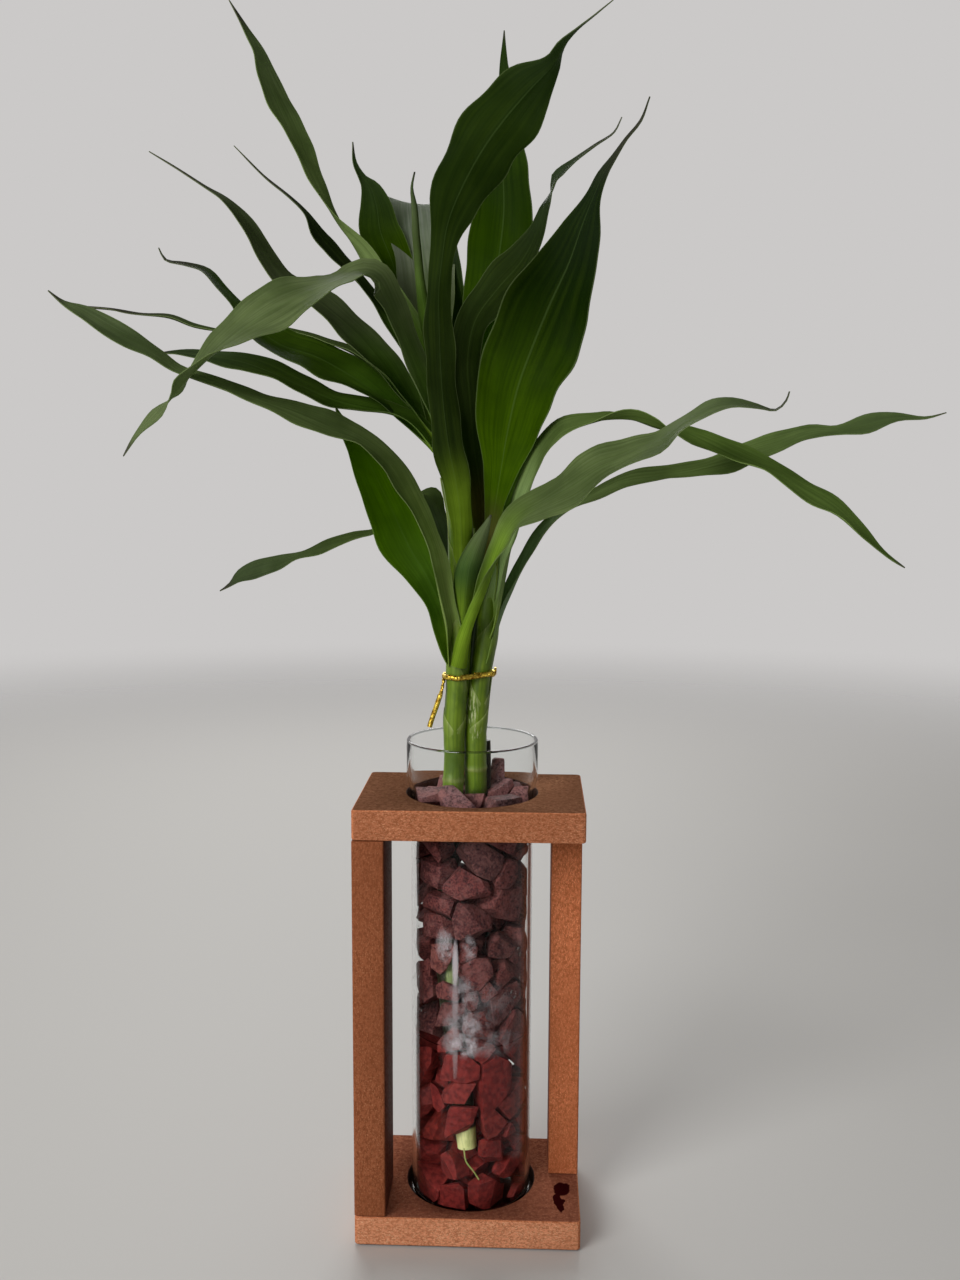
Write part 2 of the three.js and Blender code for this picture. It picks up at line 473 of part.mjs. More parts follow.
// Canes: smooth stems with a raised ring at each node
function cane({ radius, axis }) {
  const curve = new THREE.CatmullRomCurve3(axis.map(vector));
  const length = curve.getLength();
  const count = Math.floor(length / CANE_NODE.pitch);
  const places = [[0, radius]];
  for (let i = 0; i < count; i += 1) {
    const middle = (i + 0.65) / count;
    const half = CANE_NODE.width / length;
    for (const [offset, swell] of [[-half, 0], [0, CANE_NODE.height], [half, 0]]) {
      places.push([curve.getUtoTmapping(middle + offset, 0), radius + swell]);
    }
  }
  return rod(curve, STALK_SIDES, [...places, [1, radius]]);
}

// The plain hole that a cane stands in
function caneHole({ radius, axis }) {
  const points = axis.map(([x, y, z], i) => (i === 0 ? [x, y, z - GAP] : [x, y, z]));
  const curve = new THREE.CatmullRomCurve3(points.map(vector));
  const reach = radius + CANE_NODE.height + CANE_CLEARANCE;
  return rod(curve, STALK_SIDES, Array.from({ length: 22 }, (_, i) => [i / 21, reach]));
}

// Twist tie: a wire loop round both stalks, a coiled stretch at the right and a twisted tail at the left
function wireAlong(points, radius, sides, steps) {
  const section = new THREE.Shape(Array.from({ length: sides }, (_, k) => {
    const angle = (2 * Math.PI * k) / sides;
    return new THREE.Vector2(radius * Math.cos(angle), radius * Math.sin(angle));
  }));
  const path = new THREE.CatmullRomCurve3(points.map(vector));
  return toSolid(new THREE.ExtrudeGeometry(section, { steps, extrudePath: path, bevelEnabled: false }));
}

function tie() {
  const { height, wire, tail, coil } = TIE;
  const [left, right] = [STALK_LEFT, STALK_RIGHT].map((stalk) => {
    const [x, y, , radius] = stalk.find((point) => point[2] === height);
    return { x, y, r: radius + GAP + wire };
  });
  // the loop is a torus drawn out to run round both stalks
  const loop = new THREE.TorusGeometry(1, wire, 5, 26);
  const corners = loop.attributes.position;
  const lean = Math.atan2(right.y - left.y, right.x - left.x);
  for (let i = 0; i < corners.count; i += 1) {
    const [x, y, z] = [corners.getX(i), corners.getY(i), corners.getZ(i)];
    const angle = Math.atan2(y, x);
    const end = Math.cos(angle - lean) > 0 ? right : left;
    const reach = end.r + Math.hypot(x, y) - 1;
    const rise = TIE.slope * (end.x - left.x);
    corners.setXYZ(i, end.x + reach * Math.cos(angle), end.y + reach * Math.sin(angle), height + z + rise);
  }
  const steps = coil.turns * 5;
  const coiled = Array.from({ length: steps + 1 }, (_, i) => {
    const angle = coil.from + (coil.sweep * i) / steps;
    const roll = (2 * Math.PI * coil.turns * i) / steps;
    const reach = right.r + GAP + coil.radius * Math.cos(roll);
    const z = height + wire + coil.radius * Math.sin(roll);
    return [right.x + reach * Math.cos(angle), right.y + reach * Math.sin(angle), z];
  });
  const stubRoute = [[8.9, 0.6, height + 0.6], [9.4, 0.2, height + 2.4], [9.3, 0, height + 4.6]];
  const tailRoute = [[-10.6, -3.4, height], [-11.6, -4, height - 3], [-12.6, -4.6, height - 7],
    [-14.4, -5, height - 11], [-16, -5.2, height - 16], [-17.4, -5.4, height - 20]];
  const foldRoute = [[-11.4, -4.8, height - 1], [-11.4, -5.2, height - 4], [-12, -5.6, height - 8],
    [-13.4, -5.2, height - 9.4]];
  return fuse([
    toSolid(loop), wireAlong(coiled, coil.wire, 4, steps), wireAlong(stubRoute, coil.wire, 5, 4),
    wireAlong(tailRoute, tail, 5, 9), wireAlong(foldRoute, coil.wire, 5, 6),
  ]);
}

// Colours and finishes
function finish(color, roughness, metalness = 0) {
  return new THREE.MeshStandardMaterial({ color, roughness, metalness });
}

const wood = () => finish(0xa5663f, 0.6);
const glass = finish(0xdfe8e6, 0.05);
glass.transparent = true;
glass.opacity = 0.3;

// Assembly
const lucky = new THREE.Group();
function add(name, geometry, material) {
  const mesh = new THREE.Mesh(geometry, material);
  mesh.name = name;
  lucky.add(mesh);
}

const postX = (STAND.width - POST.width) / 2;
const postY = (STAND.depth - POST.depth) / 2;

add('base_board', baseBoard(), wood());
add('top_board', topBoard(), wood());
add('post_front_left', post(-postX, -postY), wood());
add('post_back_right', post(postX, postY), wood());
add('glass_tube', glassTube(), glass);
add('water', water(), finish(0xcfdcd6, 0.05));
add('gravel', toGeometry(gravel([caneHole(CANE_LEFT), caneHole(CANE_RIGHT)])), finish(0x4a2a2c, 0.55));
add('cane_left', toGeometry(cane(CANE_LEFT)), finish(0x7f9a45, 0.5));
add('cane_right', toGeometry(cane(CANE_RIGHT)), finish(0x76924a, 0.5));
add('leaves_left', toGeometry(leafyShoot(STALK_LEFT, LEAVES_LEFT)), finish(0x2f5417, 0.45));
add('leaves_right', toGeometry(leafyShoot(STALK_RIGHT, LEAVES_RIGHT)), finish(0x36601a, 0.45));
add('tie', toGeometry(tie()), finish(0xd9b13a, 0.25, 1));

export default lucky;
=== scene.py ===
"""Looks of the lucky bamboo: leafy stalks in a gravel-filled glass tube on a wooden holder."""

import math

import bmesh
import bpy
import numpy as np
from mathutils import Matrix, Vector


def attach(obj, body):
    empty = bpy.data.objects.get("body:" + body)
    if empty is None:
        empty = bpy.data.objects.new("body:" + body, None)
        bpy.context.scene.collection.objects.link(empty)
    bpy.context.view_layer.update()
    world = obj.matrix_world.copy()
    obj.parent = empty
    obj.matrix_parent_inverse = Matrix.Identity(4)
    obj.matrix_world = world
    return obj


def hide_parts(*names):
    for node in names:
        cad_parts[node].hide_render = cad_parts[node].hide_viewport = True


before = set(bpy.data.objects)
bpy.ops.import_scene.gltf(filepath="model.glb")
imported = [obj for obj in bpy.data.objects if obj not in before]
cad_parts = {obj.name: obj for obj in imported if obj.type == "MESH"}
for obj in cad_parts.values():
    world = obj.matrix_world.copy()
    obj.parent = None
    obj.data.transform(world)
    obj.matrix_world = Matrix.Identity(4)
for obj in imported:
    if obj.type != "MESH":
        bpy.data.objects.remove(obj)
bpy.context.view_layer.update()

MM = 0.001  # every size below is in millimetres

# Sizes that repeat the part's own
STAND = {"width": 90, "depth": 65, "height": 178, "board": 12, "corner": 1.5, "ease": 0.8}
POST = {"width": 12.5, "depth": 30, "gap": 0.3, "corner": 0.8, "ease": 0.4}
HOLE_RADIUS = 26.45
RECESS_DEPTH = 6
TUBE = {
    "radius": 24.7, "wall": 1.5, "foot": 4, "collar": 26.5, "shoulder": 176.5, "collar_foot": 185, "rim": 200}
TUBE_FOOT = 6.3
TUBE_FLOOR = 8.5
BORE = TUBE["radius"] - TUBE["wall"]
WATER_LEVEL = 78
GRAVEL_BOTTOM = 9.2
GRAVEL_TOP = 180
GRAVEL_PEAK = 182.4  # the highest that a loose chip reaches
TIE_HEIGHT = 225.5
# Bare canes. peeled is the height below which the skin is gone, and unshaded is where the left cane shows
# between the stones, free of the painted shade that darkens the canes among them: from, to, and the left
# edge of its unshaded side. Offshoots have a radius and a colour.
CANE_LEFT = {
    "radius": 4.2, "peeled": 43.2, "nodes": [60, 84, 107, 130, 158, 183.3],
    "axis": [
        (-0.8, -15.2, 34), (-2.4, -14.4, 50), (-5.6, -14, 78), (-8.4, -14.6, 100), (-9.2, -11.5, 125),
        (-9, -7, 150), (-7.2, -2, 190), (-7.2, -2, 200.3)],
    "unshaded": [(103.6, 110.4, -9.2)],
    "offshoots": [
        ([(-2, -18.8, 35), (-1, -20.2, 30), (2, -20.6, 26), (4, -20.4, 22.5)], 0.3, (226, 224, 150))],
}
CANE_RIGHT = {
    "radius": 4.5, "peeled": 40, "nodes": [52, 79, 106, 133, 160, 187],
    "axis": [(5, 6, 34), (4, 6, 90), (2.2, 3.5, 150), (1.2, 2, 190), (1.2, 2, 200.3)],
    "unshaded": [],
    "offshoots": [([(5.9, 5.6, 176), (6.1, 5.8, 188), (5.8, 5.6, 198)], 1.4, (50, 54, 34))],
}
CANE_NODES = {"width": 1.6, "height": 0.35}
# Points on each sheathed stalk's axis, with its radius there
STALK_LEFT = [
    (-7.2, -2, 197, 4.25), (-7.2, -2, 205, 4.3), (-5.8, -1.8, 225.5, 4.5), (-5.3, -2, 240, 4.7),
    (-4.6, -3, 256, 5), (-4.2, -3, 272, 5.1), (-5, -3, 288, 4.8), (-8, -2, 303, 4.3), (-11, -1, 319, 3.6),
    (-14, 0, 338, 2.4)]
STALK_RIGHT = [
    (1.2, 2, 197, 4.55), (1.2, 2, 205, 4.5), (3.1, 1.8, 225.5, 4.3), (5.2, 2, 240, 4.5), (6, 2.5, 256, 4.3),
    (6, 2.5, 272, 3.8), (6, 2.5, 285, 2.6)]
# A dried drip on the base board: middle, half width and half length of its blot and of its run
STAIN = [(37.9, -8.6, 4.3, 5.2), (36.6, -17.5, 1.9, 8.5)]
# How blades bend, wave and thin out: lengths and thicknesses in millimetres, the clasp round the stalk in
# degrees, and waves as shares of the width
BLADE = {
    "clasp": 150, "clasp_fade": 22, "centring": 0.45,
    "wave": 0.055, "wave_length": 46, "ripple": 0.012, "ripple_length": 17.02, "frill_length": 23,
    "edge": 0.34, "rib": 0.5, "rib_width": 2.6, "crease": 0.1, "crease_width": 1.8, "crease_span": (8, 40),
    "tip_loss": 0.8, "tip_length": 14, "least_width": 0.35, "ring_every": 2.4,
}

# Leaves. A station is a point on the midrib, the blade's width there and its turn about the midrib.
#   green_and_glow  from deep green, 0, to bright green, 1, where bright green is partly a painted glow of
#             light through the leaf; tip is the same for the leaf's end, and rise is the part of its length
#             over which one turns into the other
#   pale      towards grey-green, which is partly the leaf's own grey and partly a painted sheen, and tone
#             brightens or darkens the whole leaf; where it brightens, it partly paints light onto leaves in
#             shade
#   sheen     how far the leaf is painted grey over sheen_span, a part of its length, as a painted sheen,
#             and grey is that colour
#   dry       length of the browned tip
#   stem      colour and length of the leaf's stem; the palest stem colours are painted light, on stems in shade
#   petiole   how far the stem rolls up, in degrees, and from where to where it flattens out
#   channel   how far the blade is bent across, in degrees, frill is the wave of its margin, and
#             facing is the side that its face is measured from
LEAVES_LEFT = {
    "tall_thin": {"green_and_glow": 0.45, "pale": 0.5, "dry": 20, "sheen": 0.35, "tone": 1.6, "stations": [
        (-13, 1, 320, 10, -110), (-14, 4, 334, 10, -120), (-22, 8, 360, 12, -120), (-33, 12, 377, 14, -120),
        (-45, 16, 393, 12, -120), (-55, 20, 405, 10, -95), (-64.5, 25, 422, 13, -68),
        (-73.5, 30, 440, 16, -64), (-84, 36, 462, 17, -64), (-91, 41, 477, 11, -68), (-98, 45, 490, 4, -68),
        (-104, 48, 500, 1.3, -68)]},
    "upper_dark": {"green_and_glow": 0, "pale": 0.45, "dry": 46, "sheen": 0.4, "tone": 1.2, "stations": [
        (-11, 0, 314, 10, -75), (-16, 2, 322, 11, -70), (-24, 6, 333, 14, -66), (-34, 10, 346, 19, -62),
        (-45, 14, 359, 22, -62), (-60, 18, 372, 22, -62), (-78, 22, 384, 16, -66), (-90, 27, 400, 14, -66),
        (-99, 31, 412, 10, -68), (-105, 34, 418, 5, -68), (-113, 36, 423, 3, -68), (-124, 38, 430, 2, -68),
        (-137, 40, 438, 1.2, -68)]},
    "upper_thread": {"green_and_glow": 0, "pale": 0.1, "dry": 50, "sheen": 0.5, "stations": [
        (-12, 2, 320, 8, -68), (-16, 8, 335, 8, -68), (-29, 18, 357, 10, -68), (-42, 28, 376, 11, -70),
        (-52, 34, 388, 12, -72), (-59, 38, 396, 14, -68), (-66, 41, 404, 14, -66), (-73, 45, 414, 5, -70),
        (-80, 48, 421, 3, -70), (-92, 52, 431, 2, -70), (-105, 56, 444, 1.2, -70)]},
    # painted sheen: big_arched's pale grey-green stands for light from above reflected off its face
    "big_arched": {"green_and_glow": 0.6, "pale": 1, "dry": 8, "sheen": 0.1, "stations": [
        (-8.5, -3, 302, 11, -60), (-11, -6, 313, 11, -60), (-16, -8, 334, 13, -60),
        (-24, -12, 354, 16, -60), (-31, -17, 370, 18, -62), (-35.5, -22, 378, 20, -64),
        (-41, -27, 379, 21, -66), (-49, -33, 375, 25, -60), (-60, -41, 369, 27, -50),
        (-72, -49, 361, 27, -45), (-84, -56, 351, 23, -52), (-93, -60, 342, 17, -75),
        (-99, -62, 335, 10, -105), (-101, -63, 332, 7, -90), (-106, -65, 326, 8, -50),
        (-112, -67, 319, 6, -55), (-117, -69, 311, 1.2, -60)]},
    # painted light: far_left's pale stem and raised tone stand for front light on a leaf in shade
    "far_left": {"green_and_glow": 0.5, "pale": 0.6, "dry": 9, "stem": ((178, 204, 112), 110),
        "petiole": (150, 26, 60), "tone": 1.25, "stations": [
        (-6.5, -3.5, 231, 12, -20), (-8, -8, 246, 11, -30), (-10, -11, 258, 10, -40),
        (-14, -16, 277, 10.5, -56), (-21, -21, 294, 13.5, -66), (-30, -27, 310, 18, -70),
        (-40, -32, 318, 21, -70), (-52, -38, 323, 21, -69), (-64, -43, 328, 18, -70),
        (-76, -48, 332, 15, -70), (-87, -51, 336, 12, -72), (-95, -53, 339, 10, -76),
        (-102, -54, 342, 10, -76), (-109, -55, 347, 10, -70), (-117, -56, 351, 13, -58),
        (-126, -57, 356, 12, -60), (-134, -58, 361, 8, -62), (-140, -58, 364, 3, -65),
        (-145, -58, 368, 1.2, -65)]},
    "long_thin": {"green_and_glow": 0.2, "pale": 0.3, "dry": 62, "sheen": 0.3, "stations": [
        (-11, 1, 314, 9, -75), (-17, 11, 324, 9, -75), (-28, 16, 335, 11, -78), (-42, 22, 349, 12, -79),
        (-54, 28, 357, 12, -79), (-67, 33, 362, 12, -79), (-82, 38, 365, 12, -79), (-97, 42, 365, 12, -80),
        (-110, 45, 366, 11, -79), (-122, 48, 368, 9, -78), (-133, 50, 372, 8, -80), (-149, 53, 374, 7, -78),
        (-160, 55, 376, 6, -76), (-172, 56, 377, 3, -76), (-182, 57, 379, 1.2, -76)]},
    "mid_broad": {"green_and_glow": 0.35, "pale": 0.05, "dry": 34, "stations": [
        (-9, -2, 307, 11, -60), (-15, 0, 316, 11, -60), (-27, 6, 328, 13, -58), (-38, 10, 337, 17, -56),
        (-50, 14, 345, 22, -55), (-65, 18, 353, 24, -55), (-80, 22, 358, 22, -56), (-91, 25, 366, 15, -60),
        (-98, 27, 374, 7, -60), (-105, 28, 381, 7, -62), (-112, 30, 388, 7, -66), (-121, 31, 391, 4, -66),
        (-129, 32, 393, 2, -66), (-132, 33, 398, 1.2, -66)]},
    "lower_mid": {"green_and_glow": 0.25, "pale": 0.1, "dry": 6, "stations": [
        (-9, -2, 305, 11, -66), (-14, -3, 315, 11, -66), (-23, 0, 326, 13, -66), (-33, 3, 330, 14, -68),
        (-44, 5, 332, 16, -68), (-56, 8, 335, 17, -68), (-68, 11, 340, 18, -65), (-82, 14, 346, 18, -67),
        (-93, 16, 350, 18, -65), (-103, 17, 352, 15, -65), (-112, 18, 353, 12, -65),
        (-121, 19, 354, 6, -65), (-130, 20, 354, 1.2, -65)]},
    # painted glow: low_broad's bright green and raised tone stand for light shining through it from behind
    "low_broad": {"green_and_glow": 1, "pale": 0, "dry": 2, "tip": 0.8, "sheen": 0, "tone": 1.5, "stations": [
        (-6.5, -3, 232, 12, -20), (-9, -6, 243, 14, -25), (-12, -7, 254, 16, -30), (-17, -8, 265, 19, -35),
        (-24, -9, 277, 23, -35), (-30, -10, 290, 25, -35), (-36, -12, 303, 22, -36),
        (-42, -15, 315, 14, -40), (-48, -17, 323, 6, -45), (-51, -19, 330, 1.5, -45)]},
    "low_back": {"green_and_glow": 0.3, "pale": 0.35, "dry": 10, "stem": ((96, 108, 88), 70), "stations": [
        (-5, 0.5, 246, 10, -20), (-7, 6, 257, 11, -25), (-10, 14, 273, 12, -40), (-16, 24, 289, 14, -60),
        (-21, 34, 297, 14, -75), (-32, 46, 292, 13, -95), (-45, 55, 281, 12, -80), (-57, 60, 277, 12, -72),
        (-69, 64, 273, 11, -64), (-82, 67, 269, 9, -72), (-92, 69, 265, 10, -45), (-102, 71, 262, 10, -35),
        (-110, 73, 259, 7, -40), (-115, 74, 255, 3, -50), (-120, 75, 252, 1.2, -50)]},
    "centre_tall": {"green_and_glow": 0.1, "pale": 0.03, "dry": 20, "stem": ((140, 172, 44), 56), "frill": 0.07,
        "sheen": 0.3, "sheen_span": (0.75, 1), "stations": [
        (-4, -6, 264, 8, 180), (-4, -9, 280, 8.5, 180), (-5, -12, 296, 10, 180), (-9, -15, 318, 12, 180),
        (-11, -18, 337, 11, 178), (-12, -20, 359, 11, 176), (-12, -22, 373, 9, 176),
        (-10.5, -24, 385, 9, 174), (-9, -26, 394, 12, 170), (-6.5, -28, 401, 17, 168),
        (-2, -30, 410, 22, 166), (4.8, -34, 420.5, 24, 164), (12, -36, 429.5, 24, 162),
        (21.5, -40, 439, 18.5, 158), (29, -43.5, 446, 9, 130), (32, -45, 451, 8, 100),
        (37, -47, 456, 6, 75), (43, -49, 460, 4, 75), (49, -51, 464, 1.5, 75)]},
    "spear": {"green_and_glow": 0.4, "pale": 0.45, "dry": 3, "channel": 190, "stations": [
        (-12, -1, 326, 8, 180), (-15, -2, 336, 9.5, 180), (-17, 0, 357, 9.5, 180), (-21, 4, 379, 7, 180),
        (-23, 8, 396, 4.5, 180), (-24, 11, 410, 3, 180), (-25, 12, 417, 1.6, 180),
        (-24, 13, 423, 1.2, 180)]},
    # painted sheen: back_folded's pale grey fold
    "back_folded": {"green_and_glow": 0.2, "pale": 1.3, "dry": 5, "facing": (-1, 0, 0), "sheen": 0.85,
        "sheen_span": (0.22, 0.46), "grey": (0.3, 0.33, 0.28, 1), "stations": [
        (-12, 1, 316, 11, -90), (-14.5, 9, 330, 12, -90), (-17.5, 18, 352, 16, -90),
        (-20, 29, 378, 22, -90), (-24, 44, 402, 26, -90), (-27, 60, 418, 27, -90), (-29, 76, 424, 26, -90),
        (-31, 94, 416, 23, -90), (-33, 109, 399, 18, -90), (-34, 120, 376, 11, -90),
        (-35, 127, 352, 4, -90), (-35, 130, 340, 1.2, -90)]},
    "upright_small": {"green_and_glow": 0.4, "pale": 0, "dry": 8, "stations": [
        (-12, 1, 315, 10, -30), (-15, 9, 326, 10, -30), (-19, 17, 343, 12, -28), (-25, 24, 364, 14, -26),
        (-31, 31, 380, 16, -25), (-36, 37, 394, 18, -25), (-41, 42, 406, 18, -25), (-43, 46, 417, 14, -25),
        (-46, 49, 425, 9, -30), (-50, 51, 430, 5, -50), (-53, 53, 436, 2.5, -50),
        (-54, 55, 445, 1.2, -50)]},
    "centre_dark": {"green_and_glow": 0.15, "pale": 0, "dry": 3, "stations": [
        (-10, 0, 306, 9, 0), (-11, 12, 317, 9, 0), (-11.5, 22, 335, 12, 0), (-11.5, 29, 355, 14, 0),
        (-11.5, 33, 373, 15, 0), (-13, 36, 388, 13, 0), (-13, 40, 401, 8, 0), (-11, 44, 412, 1.5, 0)]},
    "clasping": {"green_and_glow": 0.4, "pale": 0.6, "dry": 2, "channel": 70, "stem": ((84, 118, 56), 40),
        "tone": 1.1, "stations": [
        (-3.6, -6.2, 247, 7, 170), (-3, -8, 254.5, 9, 170), (-2, -10, 263, 11.5, 175),
        (-0.6, -11.5, 271, 12, 180), (2.2, -12.5, 278.5, 8, 180), (5, -13, 284.5, 4.5, 180),
        (7.5, -13.5, 290, 1.2, 180)]},
    # painted light: front_light's bright stem stands for front light on a stem in shade
    "front_light": {"green_and_glow": 0.6, "pale": 0.85, "dry": 16, "stem": ((158, 198, 52), 84),
        "petiole": (215, 34, 66), "stations": [
        (-4.6, -6.4, 230, 12, 150), (-1.5, -9.5, 246, 10.5, 120), (4.6, -17, 263, 10, 75),
        (10.4, -24, 278, 11, 60), (17.5, -32, 289, 18, 60), (28, -40, 296, 23, 62), (38, -46, 302, 25, 60),
        (47, -51, 308, 24, 61), (54, -54, 311, 21, 62), (60, -57, 314, 20, 64), (67, -60, 317, 16, 66),
        (73, -63, 322, 12, 74), (78, -65, 325, 10, 72), (84, -67, 328, 9, 58), (90, -68, 329, 8, 62),
        (98, -70, 328, 5, 65), (104, -71, 327, 2, 70), (107, -72, 330, 1.5, 70), (108, -72, 333, 1.2, 70)]},
}
LEAVES_RIGHT = {
    "centre_backlit": {"green_and_glow": 0.85, "pale": 0, "dry": 6, "tip": 0.2, "sheen": 0.1, "stations": [
        (5.5, 4.5, 274, 9, 15), (4, 8, 290, 10, 15), (2, 12, 307, 12, 15), (3, 16, 327, 15, 15),
        (4, 21, 351, 20, 15), (6, 26, 376, 24, 15), (9, 30, 396, 27, 15), (10.5, 33, 412, 26, 15),
        (10, 36, 431, 20, 15), (10.5, 39, 447, 13, 12), (11, 41, 462, 7, 10), (10, 43, 472, 3.5, 10),
        (10, 45, 486, 1.2, 10)]},
    "right_medium": {"green_and_glow": 0.15, "pale": 0.1, "dry": 30, "stem": ((128, 108, 54), 44), "sheen": 0.45,
        "stations": [
        (5, 2, 268, 9, 20), (3.5, 3, 284, 11, 25), (3, 4, 295, 12, 30), (0, 6, 315, 12, 35),
        (-2, 8, 335, 13, 40), (-3, 9, 350, 17, 42), (0, 10, 366, 22, 45), (8.5, 11, 378, 24, 47),
        (18, 12, 389, 22, 50), (24, 13, 400, 15, 56), (27, 14, 410, 10, 66), (30, 15, 417, 8, 88),
        (32, 16, 422, 8, 60), (39, 17, 428, 5, 65), (47, 18, 434, 4, 66), (54, 19, 439, 2, 66),
        (57, 20, 445, 1.2, 66)]},
    # painted glow: right_large is bright low down and dark at its tip, for light shining through it from
    # behind
    "right_large": {"green_and_glow": 0.72, "pale": 0, "dry": 40, "stem": ((128, 118, 64), 46), "tip": 0.02,
        "sheen": 0.15, "rise": (0.26, 0.64), "stations": [
        (6.5, 0, 256, 8, 15), (7, -3, 272, 7, 15), (8, -6, 287, 7, 15), (11, -10, 307, 14, 15),
        (13.5, -12, 322, 25, 15), (17.5, -15, 339, 33, 15), (23, -16, 354, 35, 15),
        (29, -17, 368.5, 33.5, 16), (36, -18, 383.5, 24.5, 18), (40.5, -19, 396, 15, 20),
        (44.5, -20, 406, 7, 30), (48, -21, 414, 5, 40), (52, -22, 420, 3, 40), (56, -23, 426, 1.6, 40),
        (61, -24, 432, 1.4, 40), (64, -25, 440, 1.2, 40)]},
    # painted light: right_arched's pale stem stands for front light on a stem in shade
    "right_arched": {"green_and_glow": 0.45, "pale": 0.4, "dry": 5, "stem": ((178, 206, 134), 84),
        "petiole": (140, 20, 52), "tip": 0.95, "tone": 1.25, "sheen": 0.1, "stations": [
        (5.5, -0.5, 242, 9, 40), (8, -2.5, 252, 11, 45), (10, -4, 260, 11, 50), (13, -7, 274, 12, 60),
        (17, -11, 291, 13, 64), (22, -15, 304, 14, 66), (27, -18, 315, 17, 66), (34, -22, 323, 18, 68),
        (47, -27, 326, 17, 79), (60, -32, 326, 14, 100), (70, -35, 323, 14, 95), (76, -37, 322, 17, 72),
        (83, -39, 319, 18, 68), (97, -43, 312, 19, 67), (109, -47, 307, 19, 68), (120, -51, 300, 19, 65),
        (129, -54, 294, 17, 68), (138, -57, 285, 12, 66), (146, -59, 278, 5, 66),
        (152, -60, 274, 1.2, 66)]},
    # painted light: right_long's pale stem stands for front light on a stem in shade
    "right_long": {"green_and_glow": 0.4, "pale": 0.5, "dry": 6, "stem": ((160, 188, 148), 84),
        "petiole": (140, 20, 60), "tip": 0.7, "tone": 1.15, "stations": [
        (4.5, 1, 231, 8, 50), (8, 0.5, 243, 9, 55), (11, 0, 252, 9, 62), (14, -1, 259, 9, 66),
        (20, -3, 272, 9, 68), (27, -5, 283, 10, 70), (35, -8, 291, 11, 74), (45, -11, 297, 13, 74),
        (58, -14, 303, 15, 72), (71, -17, 305, 17, 72), (86, -20, 308, 19, 71), (100, -23, 312, 20, 69),
        (112, -26, 316, 19, 70), (125, -28, 321, 17, 70), (134, -30, 322, 13, 74), (144, -32, 324, 13, 63),
        (154, -34, 326, 8, 66), (164, -35, 326, 3, 70), (171, -36, 328, 1.2, 70)]},
    "right_back": {"green_and_glow": 0.1, "pale": 0, "dry": 4, "stations": [
        (6, 4, 268, 8, 10), (7.5, 7, 278, 9, 10), (10, 11, 289, 12, 10), (14, 18, 300, 15, 10),
        (17, 27, 311, 15, 10), (18, 40, 324, 12, 10), (18, 54, 337, 8, 10), (20, 68, 353, 1.5, 10)]},
}


# Camera at the photograph's place: its focal length and frame height in the photo's pixels, and degrees
CAMERA = {
    "focal": 1281, "frame_height": 1280, "yaw": -2.29, "pitch": 7.26, "roll": 0.23,
    "at": (23.2, -507.2, 304.5)}


def add_camera():
    yaw, pitch, roll = (math.radians(CAMERA[angle]) for angle in ("yaw", "pitch", "roll"))
    ahead = Vector((math.sin(yaw) * math.cos(pitch), math.cos(yaw) * math.cos(pitch), -math.sin(pitch)))
    level = Vector((math.cos(yaw), -math.sin(yaw), 0))
    rise = level.cross(ahead)
    right = math.cos(roll) * level + math.sin(roll) * rise
    up = math.cos(roll) * rise - math.sin(roll) * level
    data = bpy.data.cameras.new("camera")
    data.sensor_fit = "VERTICAL"
    data.sensor_height = 36
    data.lens = data.sensor_height * CAMERA["focal"] / CAMERA["frame_height"]
    data.clip_start = 0.01
    camera = bpy.data.objects.new("camera", data)
    place = Vector(CAMERA["at"]) * MM
    camera.matrix_world = Matrix.Translation(place) @ Matrix((right, up, -ahead)).transposed().to_4x4()
    bpy.context.collection.objects.link(camera)
    bpy.context.scene.camera = camera


# Nodes
def join(tree, value, socket):
    """Sets a socket to a value, or links it to another socket."""
    if isinstance(value, bpy.types.NodeSocket):
        tree.links.new(value, socket)
    else:
        socket.default_value = value


def add_node(tree, kind, inputs=(), **settings):
    node = tree.nodes.new(kind)
    for name, value in settings.items():
        setattr(node, name, value)
    for socket, value in dict(inputs).items():
        join(tree, value, node.inputs[socket])
    return node


def tint(red, green, blue):
    """A screen colour, 0 to 255, as the linear one that Blender works in."""
    shares = (value / 255 for value in (red, green, blue))
    return tuple(s / 12.92 if s < 0.04045 else ((s + 0.055) / 1.055) ** 2.4 for s in shares) + (1.0,)


